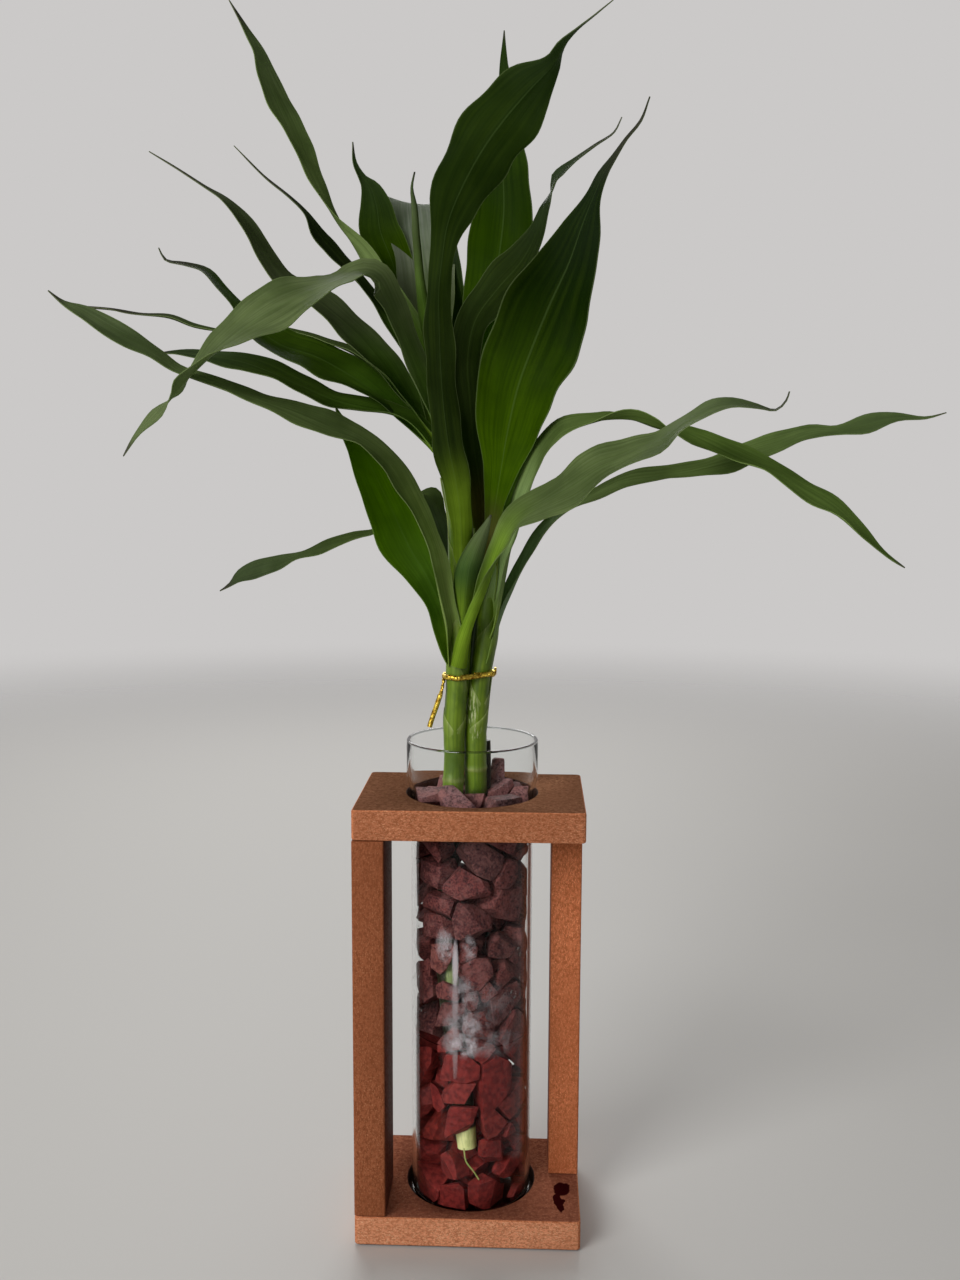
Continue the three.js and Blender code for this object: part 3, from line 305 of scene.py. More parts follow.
class Finish:
    """A material, and short ways to add the nodes it is made of."""

    def __init__(self, name, **values):
        self.material = bpy.data.materials.new(name)
        self.material.use_nodes = True
        self.tree = self.material.node_tree
        self.shader = self.tree.nodes["Principled BSDF"]
        self.output = self.tree.nodes["Material Output"]
        self.set(**values)

    def set(self, **values):
        for socket, value in values.items():
            join(self.tree, value, self.shader.inputs[socket.replace("_", " ")])

    def add(self, kind, inputs=(), **settings):
        return add_node(self.tree, "ShaderNode" + kind, inputs, **settings)

    def place(self, scale=(1, 1, 1), move=(0, 0, 0), turn=(0, 0, 0), uv=None):
        """Object coordinates in millimetres, or a UV map, stretched and turned."""
        if uv:
            source = self.add("UVMap", uv_map=uv).outputs[0]
        else:
            source = self.add("TexCoord").outputs["Object"]
            scale = [s / MM for s in scale]
        inputs = {"Vector": source, "Scale": scale, "Location": move, "Rotation": turn}
        return self.add("Mapping", inputs).outputs[0]

    def noise(self, where, detail=3.0, roughness=0.5, distortion=0.0):
        inputs = {"Vector": where, "Scale": 1, "Detail": detail, "Roughness": roughness}
        inputs["Distortion"] = distortion
        return self.add("TexNoise", inputs).outputs[0]

    def spread(self, value, low, high, to_low=0.0, to_high=1.0):
        inputs = {"Value": value, "From Min": low, "From Max": high, "To Min": to_low, "To Max": to_high}
        return self.add("MapRange", inputs, interpolation_type="SMOOTHSTEP").outputs[0]

    def math(self, operation, first, second=0.0):
        return self.add("Math", {0: first, 1: second}, operation=operation).outputs[0]

    def oval(self, across, up, middle_across, middle_up, half_width, half_height):
        """0 in the middle of an oval and 1 on its rim, growing as the square of the way out."""
        wide = self.math("DIVIDE", self.math("SUBTRACT", across, middle_across), half_width)
        tall = self.math("DIVIDE", self.math("SUBTRACT", up, middle_up), half_height)
        return self.math("ADD", self.math("MULTIPLY", wide, wide), self.math("MULTIPLY", tall, tall))

    def over(self, share, first, second):
        """Mixes two shaders and gives the result out."""
        mixed = self.add("MixShader", {0: share, 1: first, 2: second})
        self.tree.links.new(mixed.outputs[0], self.output.inputs[0])

    def mix(self, share, first, second, blend="MIX"):
        # a colour mix takes its two colours at sockets 6 and 7, and gives one at 2
        node = self.add("Mix", {0: share, 6: first, 7: second}, data_type="RGBA", blend_type=blend)
        return node.outputs[2]

    def split(self, where):
        return self.add("SeparateXYZ", {"Vector": where}).outputs

    def bump(self, height, depth, strength=1.0, over=None):
        """Bump of a depth in millimetres."""
        inputs = {"Height": height, "Distance": depth * MM, "Strength": strength}
        if over:
            inputs["Normal"] = over
        return self.add("Bump", inputs).outputs[0]

    def lit_through(self):
        """Lamps shine through the glass without being bent by it."""
        clear = self.add("BsdfTransparent", {"Color": (0.93, 0.95, 0.94, 1)}).outputs[0]
        path = self.add("LightPath").outputs["Is Shadow Ray"]
        self.over(path, self.shader.outputs[0], clear)


def board_finish(name, stretch, colours, relief, tone=1.0, stain=False, gloss=0.06):
    """Stained fibreboard: how fine its fibres are along x, y and z, and its colours from dark to light."""
    dark, plain, light = (tint(*(tone * part for part in colour)) for colour in colours)
    deep = tint(*(0.62 * part for part in colours[0]))
    wood = Finish(name)
    fibres = wood.noise(wood.place(scale=stretch), detail=5, roughness=0.62)
    finer = [2.3 * s for s in stretch]
    specks = wood.noise(wood.place(scale=finer, move=(40, 9, 0)), detail=3, roughness=0.55)
    drift = wood.noise(wood.place(scale=(0.035, 0.035, 0.035), move=(5, 5, 5)), detail=3)
    colour = wood.mix(wood.spread(fibres, 0.38, 0.6), dark, plain)
    colour = wood.mix(wood.spread(specks, 0.54, 0.68, 0, 0.7), colour, light)
    colour = wood.mix(wood.spread(specks, 0.4, 0.28, 0, 0.45), colour, deep)
    colour = wood.mix(wood.spread(drift, 0.35, 0.65, 0, 0.4), colour, dark)
    rough = wood.spread(specks, 0.35, 0.65, 0.72, 0.52)
    if stain:
        x, y = wood.split(wood.place())[:2]
        wander = wood.noise(wood.place(scale=(0.22, 0.16, 0.2)), detail=2)
        wandering = wood.math("ADD", x, wood.spread(wander, 0.3, 0.7, -1.1, 1.1))
        mark = 0.0
        for blot in STAIN:
            mark = wood.math("MAXIMUM", mark, wood.spread(wood.oval(wandering, y, *blot), 1.1, 0.75))
        colour = wood.mix(mark, colour, tint(44, 7, 8))
        rough = wood.math("MULTIPLY", rough, wood.spread(mark, 0, 1, 1, 0.6))
    wood.set(Base_Color=colour, Roughness=rough, Specular_IOR_Level=gloss)
    wood.set(Normal=wood.bump(fibres, relief, 0.8))
    return wood.material


def stone_finish():
    """Maroon stone chips: dull mauve and dusty when dry, deep red under the water."""
    stone = Finish("gravel_stone")
    height = stone.split(stone.place())[2]
    wet = stone.spread(height, WATER_LEVEL + 3, WATER_LEVEL - 2)
    own = stone.add("Attribute", attribute_name="coat").outputs["Color"]
    grain = stone.noise(stone.place(scale=(0.45, 0.45, 0.45)), detail=6, roughness=0.65)
    dust = stone.noise(stone.place(scale=(0.16, 0.16, 0.16), move=(9, 3, 5)), detail=5, roughness=0.65)
    crumbs = stone.noise(stone.place(scale=(1.3, 1.3, 1.3), move=(2, 7, 1)), detail=5, roughness=0.6)
    # dry stones are paler than wet ones, and the top ones are painted paler still, as light falling in at the
    # top
    dry_stone = stone.mix(0.3, own, tint(150, 92, 84))
    dry_stone = stone.mix(stone.spread(height, 171, 183, 0, 0.6), dry_stone, tint(164, 128, 130))
    dry_stone = stone.mix(stone.spread(grain, 0.38, 0.58, 0.62, 0), dry_stone, tint(26, 12, 16))
    dry_stone = stone.mix(stone.spread(crumbs, 0.38, 0.5, 0.72, 0), dry_stone, tint(28, 14, 20))
    dry_stone = stone.mix(stone.spread(crumbs, 0.56, 0.66, 0, 0.4), dry_stone, tint(156, 96, 92))
    # dust, thicker towards the top: partly real dust and partly painted light on the top stones
    dust_and_top_light = stone.spread(height, 160, 182, 0.35, 0.7)
    dust_and_top_light = stone.math("MULTIPLY", stone.spread(dust, 0.46, 0.66), dust_and_top_light)
    dry_stone = stone.mix(dust_and_top_light, dry_stone, tint(158, 102, 98))
    red = stone.mix(0.65, own, tint(158, 52, 46))
    wet_stone = stone.mix(stone.spread(grain, 0.38, 0.6, 0.55, 0), red, tint(38, 8, 12))
    stone.set(
        Base_Color=stone.mix(wet, dry_stone, wet_stone),
        Roughness=stone.spread(wet, 0, 1, 0.75, 0.5),
        Normal=stone.bump(crumbs, 0.22, stone.spread(wet, 0, 1, 0.7, 0.25), stone.bump(grain, 0.5, 0.8)),
        Specular_IOR_Level=0.18,
    )
    return stone.material


def leaf_finish(name, gloss, glow):
    """Leaf with parallel veins, a thin pale margin and a faint midrib, which lets light through."""
    leaf = Finish(name)
    coat = leaf.add("Attribute", attribute_name="coat")
    green, broadness = coat.outputs["Color"], coat.outputs["Alpha"]
    across = leaf.split(leaf.place(uv="blade"))[0]
    fine = leaf.noise(leaf.place(uv="blade", scale=(30, 0.7, 1)), detail=2, roughness=0.6)
    broad = leaf.noise(leaf.place(uv="blade", scale=(11, 0.3, 1), move=(3, 2, 0)), detail=2)
    cloud = leaf.noise(leaf.place(scale=(0.05, 0.05, 0.05)), detail=4)
    side = leaf.math("ABSOLUTE", leaf.math("SUBTRACT", across, 0.5))
    shade = leaf.mix(1.0, green, tint(150, 160, 140), blend="MULTIPLY")
    light = leaf.mix(0.16, green, tint(128, 158, 40))
    colour = leaf.mix(leaf.spread(fine, 0.36, 0.64, 0, 0.5), green, shade)
    colour = leaf.mix(leaf.spread(broad, 0.42, 0.66, 0, 0.28), colour, light)
    colour = leaf.mix(leaf.spread(cloud, 0.35, 0.65, 0.5, 0), colour, shade)
    colour = leaf.mix(leaf.spread(side, 0.004, 0.018, 0.16, 0), colour, tint(120, 148, 84))
    colour = leaf.mix(leaf.spread(side, 0.48, 0.496, 0, 0.3), colour, tint(150, 168, 110))
    depth = leaf.math("MULTIPLY", leaf.math("MULTIPLY", broadness, broadness), 0.3)
    relief = leaf.bump(broad, 0.1, depth)
    leaf.set(
        Base_Color=colour,
        Roughness=leaf.spread(cloud, 0.3, 0.7, 0.46, 0.6),
        Normal=relief,
        Specular_IOR_Level=gloss,
    )
    behind = leaf.mix(0.5, colour, tint(150, 196, 10))
    through = leaf.add("BsdfTranslucent", {"Color": behind}).outputs[0]
    leaf.over(glow, leaf.shader.outputs[0], through)
    return leaf.material


# Dry papery skin on the front of the right stalk: middle across and up, half width and half height
PAPER = [(-0.6, 212, 3.2, 9), (1.6, 203, 2.4, 5)]


def stem_finish(name, paper=()):
    """Smooth green stem with darker and paler stripes along it. Peeled ends keep their own pale colour."""
    stem = Finish(name)
    stripes = stem.noise(stem.place(uv="blade", scale=(16, 0.35, 1)), detail=3, roughness=0.6)
    cloud = stem.noise(stem.place(scale=(0.16, 0.16, 0.07)), detail=3)
    own = stem.add("Attribute", attribute_name="coat").outputs["Color"]
    dark = stem.mix(1.0, own, tint(170, 184, 140), blend="MULTIPLY")
    light = stem.mix(0.35, own, tint(172, 190, 60))
    colour = stem.mix(stem.spread(stripes, 0.3, 0.55, 0.55, 0), own, dark)
    colour = stem.mix(stem.spread(stripes, 0.55, 0.75, 0, 0.6), colour, light)
    colour = stem.mix(stem.spread(cloud, 0.4, 0.62, 0, 0.85), colour, dark)
    if paper:
        x, y, z = stem.split(stem.place())[:3]
        shreds = stem.noise(stem.place(scale=(1.5, 0.5, 0.2), turn=(0, 0.12, 0)), detail=4, roughness=0.65)
        share = 0.0
        for patch in paper:
            share = stem.math("MAXIMUM", share, stem.spread(stem.oval(x, z, *patch), 1.2, 0.3))
        share = stem.math("MULTIPLY", share, stem.spread(y, 0, -1))
        share = stem.math("MULTIPLY", share, stem.spread(shreds, 0.5, 0.6, 0, 0.8))
        colour = stem.mix(share, colour, tint(196, 204, 150))
    stem.set(Base_Color=colour, Roughness=0.42, Normal=stem.bump(stripes, 0.08, 0.4), Specular_IOR_Level=0.4)
    return stem.material


def foil_finish():
    foil = Finish("gold_foil", Metallic=0.9)
    crinkle = foil.noise(foil.place(scale=(0.9, 0.9, 0.9)), detail=4, roughness=0.6)
    colour = foil.mix(foil.spread(crinkle, 0.35, 0.65), tint(150, 108, 18), tint(255, 226, 96))
    foil.set(Base_Color=colour, Roughness=foil.spread(crinkle, 0.3, 0.7, 0.24, 0.4))
    foil.set(Normal=foil.bump(crinkle, 0.2, 0.7))
    return foil.material


def clear_finish(name, colour, ior, waver):
    """Clear glass or water. A low IOR keeps the two thin walls from clouding the stones behind them."""
    clear = Finish(name, Base_Color=colour, IOR=ior, Transmission_Weight=1.0, Roughness=0.0)
    ripple = clear.noise(clear.place(scale=(0.05, 0.05, 0.02)), detail=2)
    clear.set(Normal=clear.bump(ripple, waver, 0.5))
    clear.lit_through()
    return clear.material


# Mist on the glass: middle across and up, half width, half height and strength
MIST = [(-2.1, 80.5, 7, 5, 1), (-0.6, 89.6, 8, 5.5, 0.6), (-2, 101, 5, 7, 0.4), (-9.4, 120.5, 3.4, 6, 0.5),
        (0, 120, 2.6, 5, 0.5), (10.5, 80, 8, 5, 0.3), (8, 97, 8, 8, 0.16)]
# A painted highlight: the long shine down the glass, in the same terms
SHINE = [(-5.4, 113, 1.1, 9, 0.55), (-5.4, 92, 1.2, 24, 0.2)]


def mist_and_shine_finish():
    """Condensation on the inside of the glass, above the water, and a long pale shine, which is a painted
    highlight.
    """
    mist = Finish("glass_mist_and_shine", Base_Color=tint(214, 202, 206), Roughness=0.8, Specular_IOR_Level=0.0)
    x, _, z = mist.split(mist.place())[:3]
    cloud = mist.noise(mist.place(scale=(0.2, 0.2, 0.17)), detail=6, roughness=0.62, distortion=0.4)
    beads = mist.noise(mist.place(scale=(2.4, 2.4, 2.0)), detail=4, roughness=0.7)

    def patches(rows):
        share = 0.0
        for *patch, strength in rows:
            share = mist.math("MAXIMUM", share, mist.spread(mist.oval(x, z, *patch), 1.8, 0, 0, strength))
        return share

    share = mist.math("MULTIPLY", patches(MIST), mist.spread(cloud, 0.36, 0.62))
    share = mist.math("MULTIPLY", share, mist.spread(beads, 0.36, 0.62, 0.3, 1))
    mist.set(Alpha=mist.math("MAXIMUM", mist.math("MULTIPLY", share, 0.8), patches(SHINE)))
    return mist.material


def floor_finish():
    """Pale table top that fades into the pale surroundings away from the plant."""
    table = Finish("table_top", Base_Color=tint(196, 194, 190), Roughness=0.6)
    place = table.add("TexCoord").outputs["Object"]
    away = table.add("VectorMath", {0: place}, operation="LENGTH").outputs[1]
    gone = table.spread(away, 0.7, 1.9)
    clear = table.add("BsdfTransparent").outputs[0]
    table.over(gone, table.shader.outputs[0], clear)
    return table.material


# Meshes from rings of points
def spline(points, shares, even=False):
    """Points on the curve that the part's source draws through its points, at shares of its spans."""
    given = np.array(points, float)
    given = np.concatenate((2 * given[:1] - given[1:2], given, 2 * given[-1:] - given[-2:-1]))
    spans = len(points) - 1
    place = np.clip(np.asarray(shares, float), 0, 1) * spans
    first = np.minimum(place.astype(int), spans - 1)
    w = (place - first)[:, None]
    p0, p1, p2, p3 = (given[first + k] for k in range(4))
    if even:
        t1 = (p2 - p0) / 2
        t2 = (p3 - p1) / 2
    else:
        pairs = ((p0, p1), (p1, p2), (p2, p3))
        d0, d1, d2 = (np.sqrt(np.linalg.norm(b - a, axis=1))[:, None] for a, b in pairs)
        t1 = ((p1 - p0) / d0 - (p2 - p0) / (d0 + d1) + (p2 - p1) / d1) * d1
        t2 = ((p2 - p1) / d1 - (p3 - p1) / (d1 + d2) + (p3 - p2) / d2) * d1
    return p1 + t1 * w + (3 * (p2 - p1) - 2 * t1 - t2) * w**2 + (2 * (p1 - p2) + t1 + t2) * w**3


def unit(vectors):
    return vectors / np.linalg.norm(vectors, axis=-1, keepdims=True)


def heading(points, shares):
    """Unit directions along a spline."""
    step = 1e-4
    ahead = spline(points, np.minimum(np.asarray(shares) + step, 1))
    behind = spline(points, np.maximum(np.asarray(shares) - step, 0))
    return unit(ahead - behind)


def skin_faces(rings, count):
    faces = []
    for i in range(rings - 1):
        for k in range(count):
            a = i * count + k
            b = i * count + (k + 1) % count
            faces.append((a, b, b + count, a + count))
    return faces


def strip_ends(rings, count):
    """Closes the two ends of a flat skin, whose rings run along one face and back along the other."""
    last = (rings - 1) * count
    faces = []
    for k in range(count // 2 - 1):
        under = count - 1 - k
        faces.append((k, under, under - 1, k + 1))
        faces.append((last + k, last + k + 1, last + under - 1, last + under))
    return faces


def round_ends(rings, count):
    last = (rings - 1) * count
    return [tuple(reversed(range(count))), tuple(range(last, last + count))]


class Piece:
    """Points in millimetres with their faces, UV places and colours, made into one Blender object."""

    def __init__(self):
        self.points, self.faces, self.uvs, self.coats = [], [], [], []

    def add(self, points, faces, uvs=None, coats=None):
        start = sum(len(p) for p in self.points)
        points = np.asarray(points, float).reshape(-1, 3)
        self.points.append(points)
        self.faces += [tuple(start + v for v in face) for face in faces]
        self.uvs.append(np.zeros((len(points), 2)) if uvs is None else np.asarray(uvs, float).reshape(-1, 2))
        coats = np.ones((len(points), 4)) if coats is None else np.asarray(coats, float).reshape(-1, 4)
        self.coats.append(coats)
        return self

    def build(self, name, material, slot, replaces=(), sharp=40):
        mesh = bpy.data.meshes.new(name)
        points = np.concatenate(self.points)
        mesh.from_pydata((points * MM).tolist(), [], self.faces)
        corners = np.empty(len(mesh.loops), int)
        mesh.loops.foreach_get("vertex_index", corners)
        mesh.uv_layers.new(name="blade").data.foreach_set("uv", np.concatenate(self.uvs)[corners].ravel())
        coat = mesh.color_attributes.new(name="coat", type="FLOAT_COLOR", domain="POINT")
        coat.data.foreach_set("color", np.concatenate(self.coats).ravel())
        for item in material if isinstance(material, (list, tuple)) else [material]:
            mesh.materials.append(item)
        mesh.shade_smooth()
        mesh.set_sharp_from_angle(angle=math.radians(sharp))
        return dress(bpy.data.objects.new(name, mesh), replaces)


def dress(item, replaces=()):
    """Links a finished piece to the scene and tells the frame what it is."""
    if item.name not in bpy.context.collection.objects:
        bpy.context.collection.objects.link(item)
    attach(item, "root")
    if replaces:
        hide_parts(*replaces)
    return item


def round_the_circle(sides):
    return np.arange(sides) * 2 * np.pi / sides


def circle_points(radius, z, angles):
    return np.stack((radius * np.cos(angles), radius * np.sin(angles), np.full(len(angles), z)), -1)


def sweep(centres, along, radii, sides, guide=(0, 1, 0), flat=1.0):
    """Rings round a route. radii has one radius per ring, or one per point of each ring."""
    side = unit(np.cross(np.array(guide, float), along))
    front = np.cross(along, side)
    angles = round_the_circle(sides)
    if np.ndim(radii) < 2:
        radii = np.atleast_1d(radii)[:, None]
    radii = np.broadcast_to(radii, (len(centres), sides))
    across = (radii * np.cos(angles))[..., None] * side[:, None]
    deep = (radii * np.sin(angles) * flat)[..., None] * front[:, None]
    return centres[:, None] + across + deep


def route(points):
    """A smooth route through points, with its unit directions, at steps of about half a millimetre."""
    points = np.array(points, float)
    length = np.linalg.norm(np.diff(points, axis=0), axis=1).sum()
    shares = np.linspace(0, 1, max(8, int(length / 0.5)))
    return spline(points, shares), heading(points, shares)


# Greens of the leaves
DEEP_GREEN = np.array(tint(13, 27, 2))
BRIGHT_GREEN = np.array(tint(86, 122, 0))
GREY_GREEN = np.array(tint(150, 162, 116))
STALK_GREEN = (104, 142, 46)
JOINT_GREEN = np.array(tint(148, 182, 50))
SHEEN_GREY = np.array(tint(98, 106, 98))
DRY_TIP = np.array(tint(88, 80, 78))
CANE_GREEN = tint(114, 142, 30)


def smooth(value, low, high):
    share = np.clip((value - low) / (high - low), 0, 1)
    return share * share * (3 - 2 * share)


# Places of a blade's points across its width, closer together at the midrib and the margins
ACROSS = np.array([-1, -0.94, -0.82, -0.68, -0.53, -0.38, -0.24, -0.12, -0.045, 0])
ACROSS = np.concatenate((ACROSS, -ACROSS[-2::-1]))


# What a leaf has where its row doesn't say otherwise
PLAIN_LEAF = {
    "facing": (0, -1, 0), "channel": 28, "petiole": (0, 0, 1), "frill": 0.02, "tone": 1, "rise": (0.35, 0.7),
    "sheen": 0.3, "sheen_span": (0.6, 0.95), "grey": SHEEN_GREY, "stem": (STALK_GREEN, 75)}


def blade(name, row, number, material, replaces):
    """One leaf: a thin closed blade on the part's own stations, with a creased midrib and waved edges."""
    leaf = {**PLAIN_LEAF, **row}
    stations = np.array(leaf["stations"], float)
    spans = len(stations) - 1
    lengths = np.linalg.norm(np.diff(stations[:, :3], axis=0), axis=1)
    pieces = np.maximum(2, np.round(lengths / BLADE["ring_every"])).astype(int)
    shares = np.concatenate([[0]] + [(i + np.arange(1, n + 1) / n) / spans for i, n in enumerate(pieces)])
    centres = spline(stations[:, :3], shares)
    along = heading(stations[:, :3], shares)
    width, turn = spline(stations[:, 3:], shares, even=True).T
    travelled = np.concatenate(([0], np.cumsum(np.linalg.norm(np.diff(centres, axis=0), axis=1))))
    total = travelled[-1]
    tip = smooth(travelled, total - BLADE["tip_length"], total)
    width = np.maximum(BLADE["least_width"], width - BLADE["tip_loss"] * tip)
    flat = unit(np.cross(along, np.array(leaf["facing"], float)))
    out = np.cross(flat, along)
    turn = np.radians(turn)[:, None]
    across = np.cos(turn) * flat + np.sin(turn) * out
    up = np.cross(across, along)
    channel = leaf["channel"]
    bend = channel + BLADE["clasp"] * np.exp(-travelled / BLADE["clasp_fade"])
    rolled, rolled_to, flat_from = leaf["petiole"]
    bend = np.radians(np.maximum(bend, channel + rolled * smooth(travelled, flat_from, rolled_to)))
    radius = width / bend
    sink = BLADE["centring"] * radius * (1 - np.cos(bend / 2))
    s = ACROSS[None, :]
    wide = width[:, None]
    along_leaf = 2 * np.pi * travelled[:, None]
    angle = bend[:, None] * s / 2
    phase = along_leaf / BLADE["wave_length"] + number + s
    ripple = along_leaf / BLADE["ripple_length"] + 2.3 * number
    lift = s * BLADE["wave"] * wide * np.sin(phase)
    lift += BLADE["ripple"] * wide * np.abs(s) ** 3 * np.sin(ripple + 1.7 * s)
    crease = BLADE["crease"] * np.exp(-((s * wide / BLADE["crease_width"]) ** 2))
    crease = crease * smooth(travelled, *BLADE["crease_span"])[:, None]
    skin = up[:, None] * np.cos(angle)[..., None] - across[:, None] * np.sin(angle)[..., None]
    margin = np.sin(along_leaf / BLADE["frill_length"] + 1.7 * number + 2 * s)
    frill = 1 + leaf["frill"] * s**2 * margin
    middle = centres[:, None] + across[:, None] * (frill * radius[:, None] * np.sin(angle))[..., None]
    middle += up[:, None] * (radius[:, None] * (1 - np.cos(angle)) - sink[:, None])[..., None]
    middle += skin * lift[..., None]
    rib = BLADE["rib"] * np.exp(-((s * wide / BLADE["rib_width"]) ** 2))
    thick = BLADE["edge"] + rib * np.minimum(1, wide / 8)
    top = middle + skin * (thick / 2 - crease)[..., None]
    under = middle - skin * (thick / 2 + 0.6 * crease)[..., None]
    rings = np.concatenate((under[:, ::-1], top), axis=1)
    uv_across = np.broadcast_to((s + 1) / 2, thick.shape)
    uv = np.stack((uv_across, np.broadcast_to(travelled[:, None] / 25 + number, thick.shape)), -1)
    uvs = np.concatenate((uv[:, ::-1], uv), axis=1)

    start, end = leaf["rise"]
    rise = smooth(travelled, start * total, end * total)[:, None]
    green_and_glow = leaf["green_and_glow"] + rise * (leaf.get("tip", leaf["green_and_glow"]) - leaf["green_and_glow"])
    upper = DEEP_GREEN + green_and_glow * (BRIGHT_GREEN - DEEP_GREEN)
    upper = upper + 0.65 * leaf["pale"] * (GREY_GREEN - upper)
    upper = upper * leaf["tone"]
    # the blades' painted sheen turns them greyer towards their tips
    grey_from, grey_to = leaf["sheen_span"]
    grey_share = leaf["sheen"] * smooth(travelled, grey_from * total, grey_to * total)[:, None]
    upper = upper + grey_share * (np.array(leaf["grey"]) - upper)
    lower = upper + (0.02 + 0.1 * leaf["pale"]) * (GREY_GREEN - upper)
    stem, stem_length = leaf["stem"]
    # the leaf's stem is brightest along its middle
    stem_share = smooth(travelled, stem_length, 0.5 * stem_length)[:, None, None]
    stem_share = stem_share * (1 - 0.75 * smooth(travelled, 15, 50)[:, None] * ACROSS**2)[..., None]
    joint = 0.8 * smooth(travelled, 22, 6)[:, None, None]
    dry = smooth(travelled, total - leaf["dry"], total - 0.3 * leaf["dry"])[:, None, None]
    coats = []
    for face in (lower[:, None], upper[:, None]):
        colour = face + 0.9 * stem_share * (np.array(tint(*stem)) - face)
        colour = colour + joint * (JOINT_GREEN - colour)
        colour = colour + dry * (DRY_TIP - colour)
        colour[..., 3] = np.minimum(1, width / 16)[:, None]
        coats.append(colour)
    count = 2 * len(ACROSS)
    faces = skin_faces(len(shares), count) + strip_ends(len(shares), count)
    piece = Piece().add(rings, faces, uvs, np.concatenate(coats, axis=1))
    return piece.build("leaf_" + name, material, "leaf", replaces, sharp=65)


def stem_rings(points, radii_at, spacing, sides, ripple=0.0):
    """A stem along points, with its UV places. radii_at gives the radius at each share and height."""
    points = np.array(points, float)
    length = np.linalg.norm(np.diff(points[:, :3], axis=0), axis=1).sum()
    shares = np.linspace(0, 1, int(length / spacing) + 1)
    centres = spline(points[:, :3], shares)
    along = heading(points[:, :3], shares)
    radii = radii_at(shares, centres[:, 2])[:, None] * np.ones(sides)
    angles = round_the_circle(sides)
    radii = radii + ripple * (np.sin(3 * angles + centres[:, 2:3] / 9) + 0.5 * np.sin(7 * angles))
    rings = sweep(centres, along, radii, sides)
    u = np.abs(angles / np.pi - 1)
    uv = np.stack(np.broadcast_arrays(u[None], centres[:, 2:3] / 25), -1)
    return rings, uv, shares


def cane(name, spec, material, cut_material, replaces):
    """A bare cane with a raised ring at each node, and its cut end."""
    foot = spec["axis"][0][2]

    def node_share(heights, wide):
        return sum(np.exp(-(((heights - node) / wide) ** 2)) for node in spec["nodes"])

    def radii(shares, heights):
        # the peeled end is a little slimmer
        slim = 1 - 0.1 * smooth(heights, spec["peeled"] + 2, foot)
        return spec["radius"] * slim + CANE_NODES["height"] * node_share(heights, 0.6 * CANE_NODES["width"])

    sides = 40
    rings, uv, shares = stem_rings(spec["axis"], radii, 0.8, sides)
    heights = rings[..., 2:3]
    ring_share = node_share(heights.mean(axis=1, keepdims=True), 0.7)
    plain = np.array(CANE_GREEN)
    green = plain + ring_share * (np.array(tint(146, 156, 84)) - plain)
    peeled = smooth(heights, spec["peeled"] + 0.8, spec["peeled"] - 0.8)
    green = green + peeled * (np.array(tint(250, 246, 176)) - green)
    # below the top of the gravel the canes are painted dark, as the shade of the stones round them
    stone_shade = smooth(heights, GRAVEL_TOP + 1, GRAVEL_TOP - 6) * (1 - peeled)
    # where the left cane shows between the stones it is left out of that painted shade, and made paler
    for low, high, left_edge in spec["unshaded"]:
        shown = smooth(heights, low - 2, low) * smooth(heights, high + 2, high)
        shown = shown * smooth(rings[..., 0:1], left_edge - 0.7, left_edge + 0.7)
        stone_shade = stone_shade * (1 - shown)
        green = green + 0.55 * shown * (np.array(tint(184, 194, 150)) - green)
    green = green + 0.96 * stone_shade * (np.array(tint(30, 22, 18)) - green)
    greens = np.broadcast_to(green, (len(shares), sides, 4))
    piece = Piece().add(rings, skin_faces(len(shares), sides), uv, greens)
    piece.faces += round_ends(len(shares), sides)
    cut_face = len(piece.faces) - 2
    # a pale root, or a dried stub
    for points, thick, colour in spec["offshoots"]:
        add_wire(piece, points, thick, coat=tint(*colour))
    item = piece.build(name, [material, cut_material], "cane", replaces)
    item.data.polygons[cut_face].material_index = 1
    return item


# Sheaths round the stalks: the stalk, the heights it spans, the way its mouth faces (degrees, -90 to the
# viewer) and how far its mouth opens at the top
SHEATHS = {
    "left": [(198, 236, -82, 150), (214, 262, -20, 110), (236, 284, -150, 120), (262, 305, -60, 120)],
    "right": [(199.5, 226, -128, 120), (208, 246, -60, 115), (232, 268, -170, 120)],
}


# How a sheath stands off its stalk: at its foot, its swell above that, its flare at the top and how far its
# margins lie in; then its thickness at the margins and how much thicker it is between them
SHEATH = {"foot": -0.12, "swell": 0.5, "flare": 0.25, "margin": 0.15, "thin": 0.32, "thicker": 0.15}


